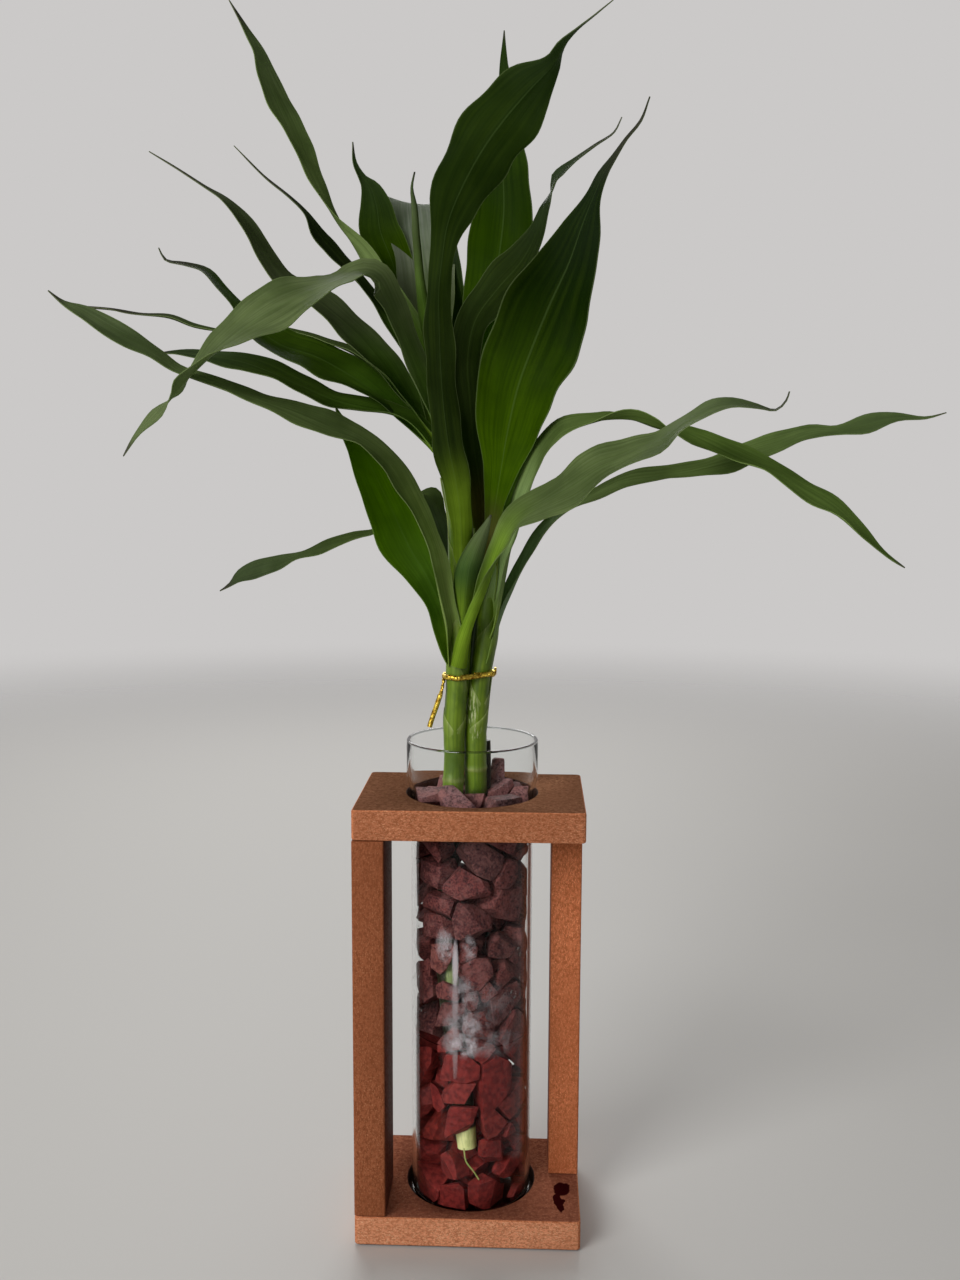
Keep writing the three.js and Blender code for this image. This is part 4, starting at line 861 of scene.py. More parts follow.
def sheath(piece, stalk, low, high, mouth, opening):
    """A thin leaf sheath that wraps a stalk, with a mouth that opens in a V towards its top."""
    stalk = np.array(stalk, float)
    heights = np.linspace(low, high, int((high - low) / 1.6))
    table = np.linspace(0, 1, 400)
    line = spline(stalk[:, :3], table)
    size = spline(stalk[:, 3:], table, even=True)[:, 0]
    shares = np.interp(heights, line[:, 2], table)
    centres = spline(stalk[:, :3], shares)
    along = heading(stalk[:, :3], shares)
    radii = np.interp(shares, table, size)
    rise = (heights - low) / (high - low)
    reach = np.radians(180 - opening * smooth(rise, 0.12, 0.55) ** 0.8)
    k = np.linspace(-1, 1, 33)
    # angles are measured in the stalk's own ring, where 0 is +X and -90 is towards the viewer
    angles = np.radians(mouth + 180) + reach[:, None] * k
    swell = SHEATH["swell"] * smooth(rise, 0, 0.3)[:, None] + SHEATH["foot"]
    swell = swell + SHEATH["flare"] * rise[:, None] ** 2 - SHEATH["margin"] * np.abs(k) ** 8
    side = unit(np.cross(np.array((0.0, 1, 0)), along))
    front = np.cross(along, side)

    def shell(reach_out):
        outwards = np.cos(angles)[..., None] * side[:, None] + np.sin(angles)[..., None] * front[:, None]
        return centres[:, None] + (radii[:, None] + reach_out)[..., None] * outwards

    outer = shell(swell)
    inner = shell(swell - SHEATH["thin"] - SHEATH["thicker"] * (1 - np.abs(k)))
    rings = np.concatenate((inner[:, ::-1], outer), axis=1)
    count = 2 * len(k)
    uv = np.stack(np.broadcast_arrays(np.abs(angles / np.pi) % 1, heights[:, None] / 25), -1)
    pale = (np.abs(k) ** 10)[None, :, None]
    base = np.array(CANE_GREEN)
    green = base + 0.6 * pale * (np.array(tint(188, 200, 130)) - base)
    greens = np.broadcast_to(green, (len(heights), len(k), 4))
    piece.add(
        rings,
        skin_faces(len(heights), count) + strip_ends(len(heights), count),
        np.concatenate((uv[:, ::-1], uv), axis=1),
        np.concatenate((greens[:, ::-1], greens), axis=1),
    )


# A leaf's stem that rises between the stalks, just above the tie
BETWEEN = [(-0.7, 2.4, 224), (-0.3, 2.6, 236), (0.9, 2.8, 247), (2.4, 3, 258)]


def stalk(name, points, sheaths, material, replaces, beside=()):
    """A stalk wrapped in its sheaths, and a leaf's stem that rises beside it."""
    sides = 36
    shape = np.array(points, float)

    def radii(shares, heights):
        return spline(shape[:, 3:], shares, even=True)[:, 0]

    rings, uv, shares = stem_rings(shape, radii, 1.5, sides, ripple=0.05)
    faces = skin_faces(len(shares), sides) + round_ends(len(shares), sides)
    piece = Piece().add(rings, faces, uv, np.broadcast_to(CANE_GREEN, (len(shares), sides, 4)))
    for row in sheaths:
        sheath(piece, points, *row)
    if beside:
        add_wire(piece, beside, 2, coat=tint(58, 82, 26))
    return piece.build(name, material, "leaf", replaces)


# Turned pieces
def turned(profile, sides):
    """Rings and faces of a closed profile of (radius, height), turned about the middle of the tube."""
    angles = round_the_circle(sides)
    rings = [circle_points(radius, z, angles) for radius, z in profile]
    faces = skin_faces(len(profile), sides)
    faces += round_ends(len(profile), sides)
    return np.array(rings), faces


def arc(middle, size, start, stop, steps):
    angles = np.radians(np.linspace(start, stop, steps))
    return [(middle[0] + size * math.cos(a), middle[1] + size * math.sin(a)) for a in angles]


def shoulder_line(inset):
    """The side of the tube from its shoulder up to the collar, set in by a wall or by nothing."""
    points = []
    for share in np.linspace(0, 1, 9):
        wide = TUBE["radius"] + (TUBE["collar"] - TUBE["radius"]) * smooth(share, 0, 1)
        points.append((wide - inset, TUBE["shoulder"] + share * (TUBE["collar_foot"] - TUBE["shoulder"])))
    return points


def glass_tube(material, rim_material):
    radius, wall, foot, collar, rim = (TUBE[k] for k in ("radius", "wall", "foot", "collar", "rim"))
    tiny = 0.02
    outside = [(tiny, TUBE_FOOT)] + arc((radius - foot, TUBE_FOOT + foot), foot, -90, 0, 9)
    outside += shoulder_line(0) + [(collar, rim - wall / 2)]
    lip = arc((collar - wall / 2, rim - wall / 2), wall / 2, 0, 180, 9)
    inside = [(collar - wall, rim - wall / 2)] + shoulder_line(wall)[::-1]
    inside += arc((BORE - foot + wall, TUBE_FLOOR + foot - wall), foot - wall, 0, -90, 9)
    profile = outside + lip[1:-1] + inside + [(tiny, TUBE_FLOOR)]
    tube = Piece().add(*turned(profile, 128))
    item = tube.build("tube_glass", [material, rim_material], "clear_glass", ["glass_tube"])
    for polygon in item.data.polygons:
        if polygon.center.z > (rim - 0.9) * MM:
            polygon.material_index = 1
    return item


def water(material):
    gap, tiny = 0.06, 0.02
    wide = BORE - gap
    floor = TUBE_FLOOR + gap
    foot = TUBE["foot"] - TUBE["wall"]
    profile = [(tiny, floor)] + arc((wide - foot, floor + foot), foot, -90, 0, 8)
    # the water creeps up the glass a little
    creep = [(wide, WATER_LEVEL + 1.2), (wide - 0.35, WATER_LEVEL + 0.6), (wide - 1.1, WATER_LEVEL + 0.12)]
    profile += creep + [(wide - 2.4, WATER_LEVEL), (tiny, WATER_LEVEL)]
    return Piece().add(*turned(profile, 96)).build("tube_water", material, "water", ["water"])


# Holder
def box_outline(width, depth, corner):
    points = []
    for sx, sy, quarter in ((1, 1, 0), (-1, 1, 1), (-1, -1, 2), (1, -1, 3)):
        middle = (sx * (width / 2 - corner), sy * (depth / 2 - corner))
        points += arc(middle, corner, 90 * quarter, 90 * quarter + 90, 5)
    return points


def eased(outline, low, high, ease):
    """Rings of an outline that draws in over an eased edge at its low and its high end."""
    outline = np.array(outline)
    rings = []
    for z, inset in eased_steps(low, high, ease):
        shrunk = outline - inset * np.sign(outline) * np.minimum(1, np.abs(outline) / 5)
        rings.append(np.column_stack((shrunk, np.full(len(outline), z))))
    return rings


def eased_steps(low, high, ease):
    turns = np.radians([0, 22.5, 45, 67.5, 90])
    start = [(low + ease * (1 - math.sin(a)), ease * (1 - math.cos(a))) for a in turns[::-1]]
    return start + [(high - z + low, inset) for z, inset in start[::-1]]


def bridge(mesh, rows):
    """Faces between rows of points, each row once round."""
    for below, above in zip(rows, rows[1:]):
        for k in range(len(below)):
            j = (k + 1) % len(below)
            mesh.faces.new((below[k], below[j], above[j], above[k]))


def board(name, low, hole, hole_low, materials, replaces):
    """A board with eased edges. hole is the radius of its round hole, which goes down to hole_low."""
    high = low + STAND["board"]
    outline = box_outline(STAND["width"], STAND["depth"], STAND["corner"])
    mesh = bmesh.new()
    rings = eased(outline, low, high, STAND["ease"])
    bridge(mesh, [[mesh.verts.new(p * MM) for p in ring] for ring in rings])
    angles = round_the_circle(96)

    def circle(radius, z):
        return [mesh.verts.new(point * MM) for point in circle_points(radius, z, angles)]

    chamfer = 0.35
    through = hole_low <= low
    rows = [circle(hole + chamfer, high), circle(hole, high - chamfer)]
    if through:
        rows += [circle(hole, low + chamfer), circle(hole + chamfer, low)]
    else:
        rows.append(circle(hole, hole_low))
        mesh.faces.new(rows[-1])
    bridge(mesh, rows[::-1])
    fill_flat(mesh, high, True)
    fill_flat(mesh, low, through)
    bmesh.ops.recalc_face_normals(mesh, faces=mesh.faces)
    return finish_wood(mesh, name, materials, replaces)


def fill_flat(mesh, z, pierced):
    """Fills a flat face of a board: its eased outline at height z, less the hole if it is pierced."""
    level = {v for v in mesh.verts if abs(v.co.z - z * MM) < 1e-7}
    edges = [e for e in mesh.edges if all(v in level for v in e.verts)]
    if pierced:
        bmesh.ops.triangle_fill(mesh, edges=edges, use_beauty=True, use_dissolve=False)
    else:
        bmesh.ops.contextual_create(mesh, geom=edges)


def plain_mesh(mesh, name, materials, sharp):
    """The mesh that was built, smooth but for edges sharper than so many degrees."""
    data = bpy.data.meshes.new(name)
    mesh.to_mesh(data)
    mesh.free()
    for material in materials:
        data.materials.append(material)
    data.shade_smooth()
    data.set_sharp_from_angle(angle=math.radians(sharp))
    return data


def finish_wood(mesh, name, materials, replaces):
    """materials are for the cut edges, the faces, the worn corners and, in a board, the hole, whose walls are
    painted dark as shade.
    """
    data = plain_mesh(mesh, name, materials, 50)
    for polygon in data.polygons:
        wide = polygon.center.xy.length / MM
        in_hole = len(materials) > 3 and wide < HOLE_RADIUS + 0.3
        on_corner = max(map(abs, polygon.normal)) < 0.97
        if in_hole:
            polygon.material_index = 3
        elif on_corner:
            polygon.material_index = 2
        else:
            polygon.material_index = 0 if face_is_cut(name, polygon.normal) else 1
    return dress(bpy.data.objects.new(name, data), replaces)


def face_is_cut(name, normal):
    """Boards show their cut edges at the sides, and posts at the front, the back and the ends."""
    if "post" in name:
        return abs(normal.x) < 0.7
    return abs(normal.z) < 0.7


def post(name, x, y, materials, replaces):
    low = STAND["board"] + POST["gap"]
    high = STAND["height"] - STAND["board"] - POST["gap"]
    outline = box_outline(POST["width"], POST["depth"], POST["corner"])
    mesh = bmesh.new()
    rings = eased(outline, low, high, POST["ease"])
    rows = [[mesh.verts.new((p + (x, y, 0)) * MM) for p in ring] for ring in rings]
    bridge(mesh, rows)
    mesh.faces.new(rows[-1])
    mesh.faces.new(rows[0][::-1])
    return finish_wood(mesh, name, materials, replaces)


# Gravel
# "small" and "large" are half sizes, "settle" is how many times the stones push each other apart, "edge" is
# the width of a worn edge, and the leans are those of the sides between stones. Two stones less than
# "within" apart share a plane, and each stays back from it by "gap", or by up to "loose" more. "spread" is
# how much wider the top stones lie in the collar, and it grows between the heights of "spread_span".
STONE = {
    "count": 205, "small": 3.2, "large": 10, "settle": 240, "neighbours": 9, "edge": 0.12,
    "gap": 0.22, "loose": 1.6, "within": 9, "wall_gap": 0.45, "cane_gap": 0.35, "lean": 0.3, "own_lean": 0.07,
    "spread": 0.04, "spread_span": (176, 182)}
# How close a stone's middle may come to each of these, as a share of its half size
CLOSE = {"stone": 0.95, "window": 0.86, "cane": 0.5, "wall": 0.66, "floor": 0.6, "top": 0.55}
# Gaps in the stones where the left cane and its root show: middle and size
WINDOWS = [((-6, -21.6, 107.2), 4.4), ((-0.4, -20.5, 38.5), 6), ((2, -21, 27.5), 4.2)]
# Chips between the left cane and the glass: how high up the cane, their size, and how far to the side
COVERS = [(49.5, 7, 0), (59, 8, 0), (70, 8.5, 0), (81, 8, 0), (91, 8.6, 0), (98.6, 7, 1), (107, 4.4, -7),
          (116.3, 8, 0), (127, 8.4, 0), (138, 8.6, 0), (149, 8.6, 0), (160, 8.6, 0), (170, 5.6, -2.6)]
STONE_COLOURS = [
    (98, 36, 38), (108, 44, 44), (78, 26, 32), (118, 58, 56), (110, 50, 42), (44, 24, 30), (62, 38, 40)]
STONE_SHARES = [0.28, 0.24, 0.18, 0.12, 0.12, 0.03, 0.03]
# The top of the gravel: how deep the stones lie that show there, how uneven it is, and how it slopes down
# at the back on the left
CROWN = {"depth": 14, "uneven": (-2.5, 1.5), "slope": 0.24, "slope_from": 14}


def nearest_on_cane(spec, places):
    """The nearest point of a cane's middle line to each place."""
    line = spline(np.array(spec["axis"]), np.linspace(0, 1, 160))
    far = np.linalg.norm(places[:, None] - line[None], axis=2)
    return line[far.argmin(1)]


def settle_stones(draw):
    """Places and sizes of stones that push each other apart in the tube, until they lie close."""
    size = STONE["small"] + (STONE["large"] - STONE["small"]) * draw.random(STONE["count"]) ** 0.9
    angle = draw.uniform(0, 2 * np.pi, STONE["count"])
    reach = (BORE - 4) * np.sqrt(draw.uniform(0, 1, STONE["count"]))
    z = draw.uniform(GRAVEL_BOTTOM + 4, GRAVEL_TOP - 3, STONE["count"])
    place = np.stack((reach * np.cos(angle), reach * np.sin(angle), z), -1)
    covers = []
    for height, _, aside in COVERS:
        middle = nearest_on_cane(CANE_LEFT, np.array([(-6, -15, height)]))[0]
        away = np.array((0.6 * middle[0], middle[1] - 4, 0))
        covers.append(middle + unit(away) * (CANE_LEFT["radius"] + 2.2) + np.array((aside, 0, 0)))
    place = np.concatenate((covers, place))
    size = np.concatenate(([wide for _, wide, _ in COVERS], size))
    gaps = np.array([middle for middle, _ in WINDOWS], float)
    gap_size = np.array([wide for _, wide in WINDOWS])
    # a crowded stone moves by a share of what it overlaps: a smaller one from stones than from what is fixed
    nudge, shove = 0.22, 0.5
    for _ in range(STONE["settle"]):
        apart = place[:, None] - place[None]
        far = np.linalg.norm(apart, axis=2) + np.eye(len(place)) * 1e6
        overlap = np.maximum(0, CLOSE["stone"] * (size[:, None] + size[None]) - far)
        place = place + (apart / far[..., None] * overlap[..., None]).sum(1) * nudge
        from_gap = place[:, None] - gaps[None]
        near = np.linalg.norm(from_gap, axis=2)
        push = np.maximum(0, CLOSE["window"] * size[:, None] + gap_size[None] - near)
        place = place + (from_gap / near[..., None] * push[..., None]).sum(1) * shove
        for spec in (CANE_LEFT, CANE_RIGHT):
            from_cane = place - nearest_on_cane(spec, place)
            near = np.linalg.norm(from_cane, axis=1)
            push = np.maximum(0, spec["radius"] + CLOSE["cane"] * size - near)
            place = place + from_cane / near[:, None] * push[:, None] * shove
        wide = np.linalg.norm(place[:, :2], axis=1)
        most = BORE - CLOSE["wall"] * size
        place[:, :2] *= np.minimum(1, most / wide)[:, None]
        lowest, highest = GRAVEL_BOTTOM + CLOSE["floor"] * size, GRAVEL_TOP - CLOSE["top"] * size
        place[:, 2] = np.clip(place[:, 2], lowest, highest)
        place[:len(covers)] = covers
    return place, size


def cut_off(mesh, point, outwards):
    """Cuts away what lies beyond a plane, and closes the cut."""
    everything = mesh.verts[:] + mesh.edges[:] + mesh.faces[:]
    cut = bmesh.ops.bisect_plane(
        mesh, geom=everything, plane_co=point, plane_no=outwards, clear_outer=True)["geom_cut"]
    rim = [part for part in cut if isinstance(part, bmesh.types.BMEdge)]
    if len(rim) > 2:
        bmesh.ops.contextual_create(mesh, geom=rim)


def leaning(direction, amount, draw):
    """A unit direction, leant over a little at random."""
    return unit(direction + amount * draw.normal(size=3))


def stone_planes(number, place, size, others, other_size, draw):
    """The planes that shape one stone: towards its neighbours, the canes and the wall, and at its corners."""
    planes = []
    away = others - place
    far = np.linalg.norm(away, axis=1)
    for j in np.argsort(far - other_size):
        if far[j] < 1e-6 or far[j] > size + other_size[j] + STONE["within"]:
            continue
        low, high = sorted((number, int(j)))
        pair = np.random.default_rng(1000 * low + high)
        lean = (1 if number == low else -1) * STONE["lean"] * pair.normal(size=3)
        lean = lean + STONE["own_lean"] * draw.normal(size=3)
        direction = unit(away[j] / far[j] + lean)
        middle = (far[j] ** 2 + size**2 - other_size[j] ** 2) / (2 * far[j])
        point = place + away[j] / far[j] * middle
        gap = STONE["gap"] + STONE["loose"] * draw.random() ** 4
        planes.append((point - direction * gap, direction))
        if len(planes) > STONE["neighbours"]:
            break
    for spec in (CANE_LEFT, CANE_RIGHT):
        on_cane = nearest_on_cane(spec, place[None])[0]
        direction = unit(on_cane - place)
        planes.append((on_cane - direction * (spec["radius"] + STONE["cane_gap"]), direction))
    round_wall = np.array((place[0], place[1], 0)) / max(1e-6, math.hypot(place[0], place[1]))
    # three planes, side by side, follow the round wall
    for turn in (-0.42, 0, 0.42):
        direction = np.array(Matrix.Rotation(turn, 3, "Z") @ Vector(round_wall))
        reach = BORE - STONE["wall_gap"] - 0.5 * draw.random()
        at_wall = direction * reach + np.array((0, 0, place[2]))
        planes.append((at_wall, leaning(direction, 0.05, draw)))
    for _ in range(3):
        direction = unit(draw.normal(size=3))
        planes.append((place + direction * size * draw.uniform(0.4, 1), direction))
    planes.append((np.array((0, 0, GRAVEL_BOTTOM)), np.array((0.0, 0, -1))))
    nearly_up = leaning(np.array((0.0, 0, 1)), 0.06, np.random.default_rng(number))
    planes.append((np.array((0, 0, GRAVEL_PEAK)), nearly_up))
    return planes


def stone_mesh(place, size, planes):
    """One angular chip with worn edges, in millimetres."""
    mesh = bmesh.new()
    bmesh.ops.create_cube(mesh, size=4 * size, matrix=Matrix.Translation(place))
    for point, direction in planes:
        cut_off(mesh, point, direction)
        if not mesh.faces:
            return None
    bmesh.ops.remove_doubles(mesh, verts=mesh.verts, dist=0.06)
    bmesh.ops.dissolve_degenerate(mesh, edges=mesh.edges, dist=0.03)
    bmesh.ops.convex_hull(mesh, input=mesh.verts)
    loose = [v for v in mesh.verts if not v.link_faces]
    bmesh.ops.delete(mesh, geom=loose, context="VERTS")
    bmesh.ops.dissolve_limit(mesh, angle_limit=math.radians(7), verts=mesh.verts, edges=mesh.edges)
    bmesh.ops.bevel(
        mesh, geom=mesh.edges[:], offset=STONE["edge"], segments=1, affect="EDGES", clamp_overlap=True)
    bmesh.ops.recalc_face_normals(mesh, faces=mesh.faces)
    taper_top = 11.6
    for vert in mesh.verts:
        # nothing comes near the wall, or the rounding of the tube's foot
        limit = BORE - 0.2 - max(0, taper_top - vert.co.z)
        wide = math.hypot(vert.co.x, vert.co.y)
        if wide > limit:
            vert.co.xy *= limit / wide
        # the top chips lie out into the wider collar
        vert.co.xy *= 1 + STONE["spread"] * float(smooth(vert.co.z, *STONE["spread_span"]))
    return mesh


def gravel(material):
    """Stone chips packed close: each fills the space between its neighbours, as settled chips do."""
    draw = np.random.default_rng(11)
    places, sizes = settle_stones(draw)
    # each top stone ends half way to its own mirror image
    mirrored = places[:, 2] > GRAVEL_TOP - CROWN["depth"]
    above = places[mirrored] * (1, 1, -1)
    above[:, 2] += 2 * (GRAVEL_TOP + draw.uniform(*CROWN["uneven"], len(above)))
    above[:, 2] -= CROWN["slope"] * np.maximum(0, above[:, 1] - above[:, 0] - CROWN["slope_from"])
    gaps = np.array([middle for middle, _ in WINDOWS], float)
    gap_sizes = [wide for _, wide in WINDOWS]
    others = np.concatenate((places, above, gaps))
    other_sizes = np.concatenate((sizes, sizes[mirrored], gap_sizes))
    piece = Piece()
    for number, (place, size) in enumerate(zip(places, sizes)):
        planes = stone_planes(number, place, size, others, other_sizes, draw)
        mesh = stone_mesh(place, size, planes)
        if mesh is None:
            continue
        colour = np.array(tint(*STONE_COLOURS[draw.choice(len(STONE_COLOURS), p=STONE_SHARES)]))
        colour[:3] *= draw.uniform(0.72, 1.2)
        mesh.verts.index_update()
        points = [tuple(vert.co) for vert in mesh.verts]
        faces = [tuple(vert.index for vert in face.verts) for face in mesh.faces]
        piece.add(points, faces, coats=np.broadcast_to(colour, (len(points), 4)))
        mesh.free()
    return piece.build("gravel_stones", material, "gravel_stone", ["gravel"], sharp=18)


class Recipe:
    """A Geometry Nodes tree with named inputs, and short ways to fill it."""

    def __init__(self, name):
        self.tree = bpy.data.node_groups.new(name, "GeometryNodeTree")
        self.tree.interface.new_socket("Geometry", in_out="INPUT", socket_type="NodeSocketGeometry")
        self.tree.interface.new_socket("Geometry", in_out="OUTPUT", socket_type="NodeSocketGeometry")
        self.start = self.tree.nodes.new("NodeGroupInput")
        self.end = self.tree.nodes.new("NodeGroupOutput")
        self.values = {}

    def input(self, name, kind, value):
        socket = self.tree.interface.new_socket(name, in_out="INPUT", socket_type="NodeSocket" + kind)
        self.values[socket.identifier] = value
        return self.start.outputs[name]

    def add(self, kind, inputs=(), **settings):
        return add_node(self.tree, kind, inputs, **settings)

    def named(self, name):
        return self.add("GeometryNodeInputNamedAttribute", {"Name": name}, data_type="FLOAT").outputs[0]

    def math(self, operation, first, second):
        return self.add("ShaderNodeMath", {0: first, 1: second}, operation=operation).outputs[0]

    def apply(self, item, geometry):
        """Ends the tree, runs it on an object and puts the plain mesh that it makes in the object's place."""
        self.tree.links.new(geometry, self.end.inputs[0])
        modifier = item.modifiers.new("recipe", "NODES")
        modifier.node_group = self.tree
        for identifier, value in self.values.items():
            modifier[identifier] = value
        bpy.context.view_layer.update()
        graph = bpy.context.evaluated_depsgraph_get()
        result = bpy.data.meshes.new_from_object(item.evaluated_get(graph))
        item.modifiers.remove(modifier)
        old = item.data
        item.data = result
        bpy.data.meshes.remove(old)
        result.name = item.name
        return item


# Beads on the glass: round which side they gather, how widely, between which heights, their radii, and the
# draw above which one is twice as large
BEADS = {"count": 520, "side": -96, "spread": 38, "heights": (80, 126), "radii": (0.16, 0.4), "double": 0.93}


def droplets(material):
    """Beads of condensation on the inside of the glass, above the water."""
    draw = np.random.default_rng(23)
    count = BEADS["count"]
    angle = np.radians(draw.normal(BEADS["side"], BEADS["spread"], count))
    height = draw.uniform(*BEADS["heights"], count)
    bead_size = draw.uniform(*BEADS["radii"], count) * (1 + (draw.random(count) > BEADS["double"]))
    wall = BORE - 0.02
    places = np.stack((wall * np.cos(angle), wall * np.sin(angle), height), -1)
    mesh = bpy.data.meshes.new("glass_droplets")
    mesh.from_pydata((places * MM).tolist(), [], [])
    for label, kind, values in (("bead_turn", "FLOAT", angle), ("bead_size", "FLOAT", bead_size)):
        mesh.attributes.new(label, kind, "POINT").data.foreach_set("value", values)
    item = bpy.data.objects.new("glass_droplets", mesh)
    bpy.context.collection.objects.link(item)

    recipe = Recipe("droplets_recipe")
    thickness = recipe.input("Bead Thickness", "Float", 0.45)
    finish = recipe.input("Finish", "Material", material)
    ball = recipe.add("GeometryNodeMeshIcoSphere", {"Radius": MM, "Subdivisions": 2})
    size = recipe.named("bead_size")
    turn = recipe.add("ShaderNodeCombineXYZ", {2: recipe.named("bead_turn")}).outputs[0]
    flat = recipe.math("MULTIPLY", size, thickness)
    scale = recipe.add("ShaderNodeCombineXYZ", {0: flat, 1: size, 2: size}).outputs[0]
    placed = recipe.add("GeometryNodeInstanceOnPoints", {
        "Points": recipe.start.outputs[0], "Instance": ball.outputs[0], "Rotation": turn, "Scale": scale})
    solid = recipe.add("GeometryNodeRealizeInstances", {"Geometry": placed.outputs[0]})
    dressed = recipe.add("GeometryNodeSetMaterial", {"Geometry": solid.outputs[0], "Material": finish})
    recipe.apply(item, dressed.outputs[0])
    item.data.shade_smooth()
    return dress(item)


# The flat stone that stands on end behind the canes: its middle, its half sizes and its worn edge
STANDING = {"middle": (9.6, 11.5, 179.8), "half": (3.4, 2.4, 8.2), "edge": 0.3, "points": 26}


def standing_stone(material):
    draw = np.random.default_rng(4)
    mesh = bmesh.new()
    for _ in range(STANDING["points"]):
        point = np.clip(unit(draw.normal(size=3)) * 1.5, -1, 1) * np.array(STANDING["half"])
        mesh.verts.new((point + np.array(STANDING["middle"])) * MM)
    bmesh.ops.convex_hull(mesh, input=mesh.verts)
    bmesh.ops.delete(mesh, geom=[v for v in mesh.verts if not v.link_faces], context="VERTS")
    worn = STANDING["edge"] * MM
    bmesh.ops.bevel(mesh, geom=mesh.edges[:], offset=worn, segments=2, profile=0.6, affect="EDGES")
    bmesh.ops.recalc_face_normals(mesh, faces=mesh.faces)
    data = plain_mesh(mesh, "gravel_standing", [material], 24)
    coat = data.color_attributes.new(name="coat", type="FLOAT_COLOR", domain="POINT")
    coat.data.foreach_set("color", tint(150, 122, 120) * len(data.vertices))
    return dress(bpy.data.objects.new("gravel_standing", data))


# Mist inside the glass, which also carries the painted highlight: its gap to the glass, its thickness,
# its heights and its sides in degrees
FILM = {"gap": 0.08, "thick": 0.05, "heights": (66, 132), "sides": (-168, -12)}


def glass_mist_and_shine(material):
    outer = BORE - FILM["gap"]
    inner = outer - FILM["thick"]
    angles = np.radians(np.linspace(*FILM["sides"], 60))
    heights = np.linspace(*FILM["heights"], 16)
    rings = []
    for z in heights:
        back = circle_points(inner, z, angles)[::-1]
        rings.append(np.concatenate((back, circle_points(outer, z, angles))))
    count = 2 * len(angles)
    faces = skin_faces(len(heights), count) + strip_ends(len(heights), count)
    return Piece().add(np.array(rings), faces).build("glass_film_mist_and_shine", material, "water")


# Gold twist tie. "wire" and "strand" are radii, and "gap" and "strand_gap" are how far their middles lie
# off a stalk. An end is its points, radius, flatness and twist: the short end at the right, the two
# crumpled strips where the tail starts, and the tail's thicker folded end.
# The loop climbs to the right by "climb" and waves by "wave", and the strands span "front", in radians.
TIE = {
    "wire": 0.84, "crumple": 0.07, "gap": 1.05, "climb": 0.08, "wave": 0.18,
    "strand": 0.45, "strand_gap": 1.25, "coil": 0.6, "turns": 4.5, "front": (-1.95, -0.1)}
TIE_ENDS = [
    ([(8.8, 0.6, 226.1), (9.2, 0.2, 227.4), (9.1, 0, 228.8)], 0.5, 1.0, 0),
    ([(-10.8, -3.2, 226), (-11.6, -4, 222.5), (-12.8, -4.6, 217.5)], 0.75, 0.6, 4),
    ([(-11.4, -4.6, 225), (-11.6, -5.1, 221.5), (-12.6, -5.2, 217)], 0.6, 0.6, 3),
    ([(-12.6, -4.8, 218.4), (-14.2, -5, 213.6), (-15.8, -5.2, 209), (-16.9, -5.4, 205.4)], 1.05, 1.0, 0),
]


def at_tie(stalk):
    return next(row for row in stalk if row[2] == TIE_HEIGHT)


def tie_loop():
    """The wire's path round both stalks."""
    left, right = at_tie(STALK_LEFT), at_tie(STALK_RIGHT)
    lean = math.atan2(right[1] - left[1], right[0] - left[0])
    points = []
    for angle in round_the_circle(120):
        x, y, _, r = right if math.cos(angle - lean) > 0 else left
        rise = TIE["climb"] * (x - left[0]) + TIE["wave"] * math.sin(5 * angle)
        reach = r + TIE["gap"]
        points.append((x + reach * math.cos(angle), y + reach * math.sin(angle), TIE_HEIGHT + rise))
    return np.array(points)


def tie(material):
    piece = Piece()
    loop = tie_loop()
    along = unit(np.roll(loop, -1, axis=0) - np.roll(loop, 1, axis=0))
    sides = 14
    crumple = TIE["wire"] + TIE["crumple"] * np.sin(np.arange(len(loop)) * 1.7)
    rings = sweep(loop, along, crumple, sides, guide=(0, 0, 1), flat=1.25)
    total = len(loop) * sides
    # one more row of faces than rings, because the loop closes on itself
    faces = [tuple(v % total for v in face) for face in skin_faces(len(loop) + 1, sides)]
    piece.add(rings, faces)
    # two twisted strands run round the front of the right stalk
    x, y, _, r = at_tie(STALK_RIGHT)
    twist = np.linspace(0, 1, 90)
    angle = np.linspace(*TIE["front"], 90)
    for strand in (0, math.pi):
        roll = 2 * np.pi * TIE["turns"] * twist + strand
        reach = r + TIE["strand_gap"] + TIE["coil"] * np.cos(roll)
        height = TIE_HEIGHT + 0.9 + TIE["coil"] * np.sin(roll)
        points = np.stack((x + reach * np.cos(angle), y + reach * np.sin(angle), height), -1)
        add_wire(piece, points, TIE["strand"])
    for row in TIE_ENDS:
        add_wire(piece, *row)
    return piece.build("foil_tie", material, "gold_foil", ["tie"], sharp=35)


def add_wire(piece, points, radius, flat=1.0, twist=0.0, coat=(1, 1, 1, 1)):
    """A wire along points. A flat one turns about itself as a foil strip does."""
    centres, along = route(points)
    sides = 10
    guide = (0.3, 0.9, 0.2)
    rings = sweep(centres, along, radius, sides, guide)
    if flat != 1.0:
        turn = twist * np.linspace(0, math.pi, len(centres))
        side = unit(np.cross(np.array(guide), along))
        front = np.cross(along, side)
        thin = np.cos(turn)[:, None] * side + np.sin(turn)[:, None] * front
        offset = rings - centres[:, None]
        depth = (offset * thin[:, None]).sum(-1, keepdims=True)
        rings = rings - (1 - flat) * depth * thin[:, None]
    faces = skin_faces(len(centres), sides) + round_ends(len(centres), sides)
    piece.add(rings, faces, coats=np.broadcast_to(coat, (rings.size // 3, 4)))


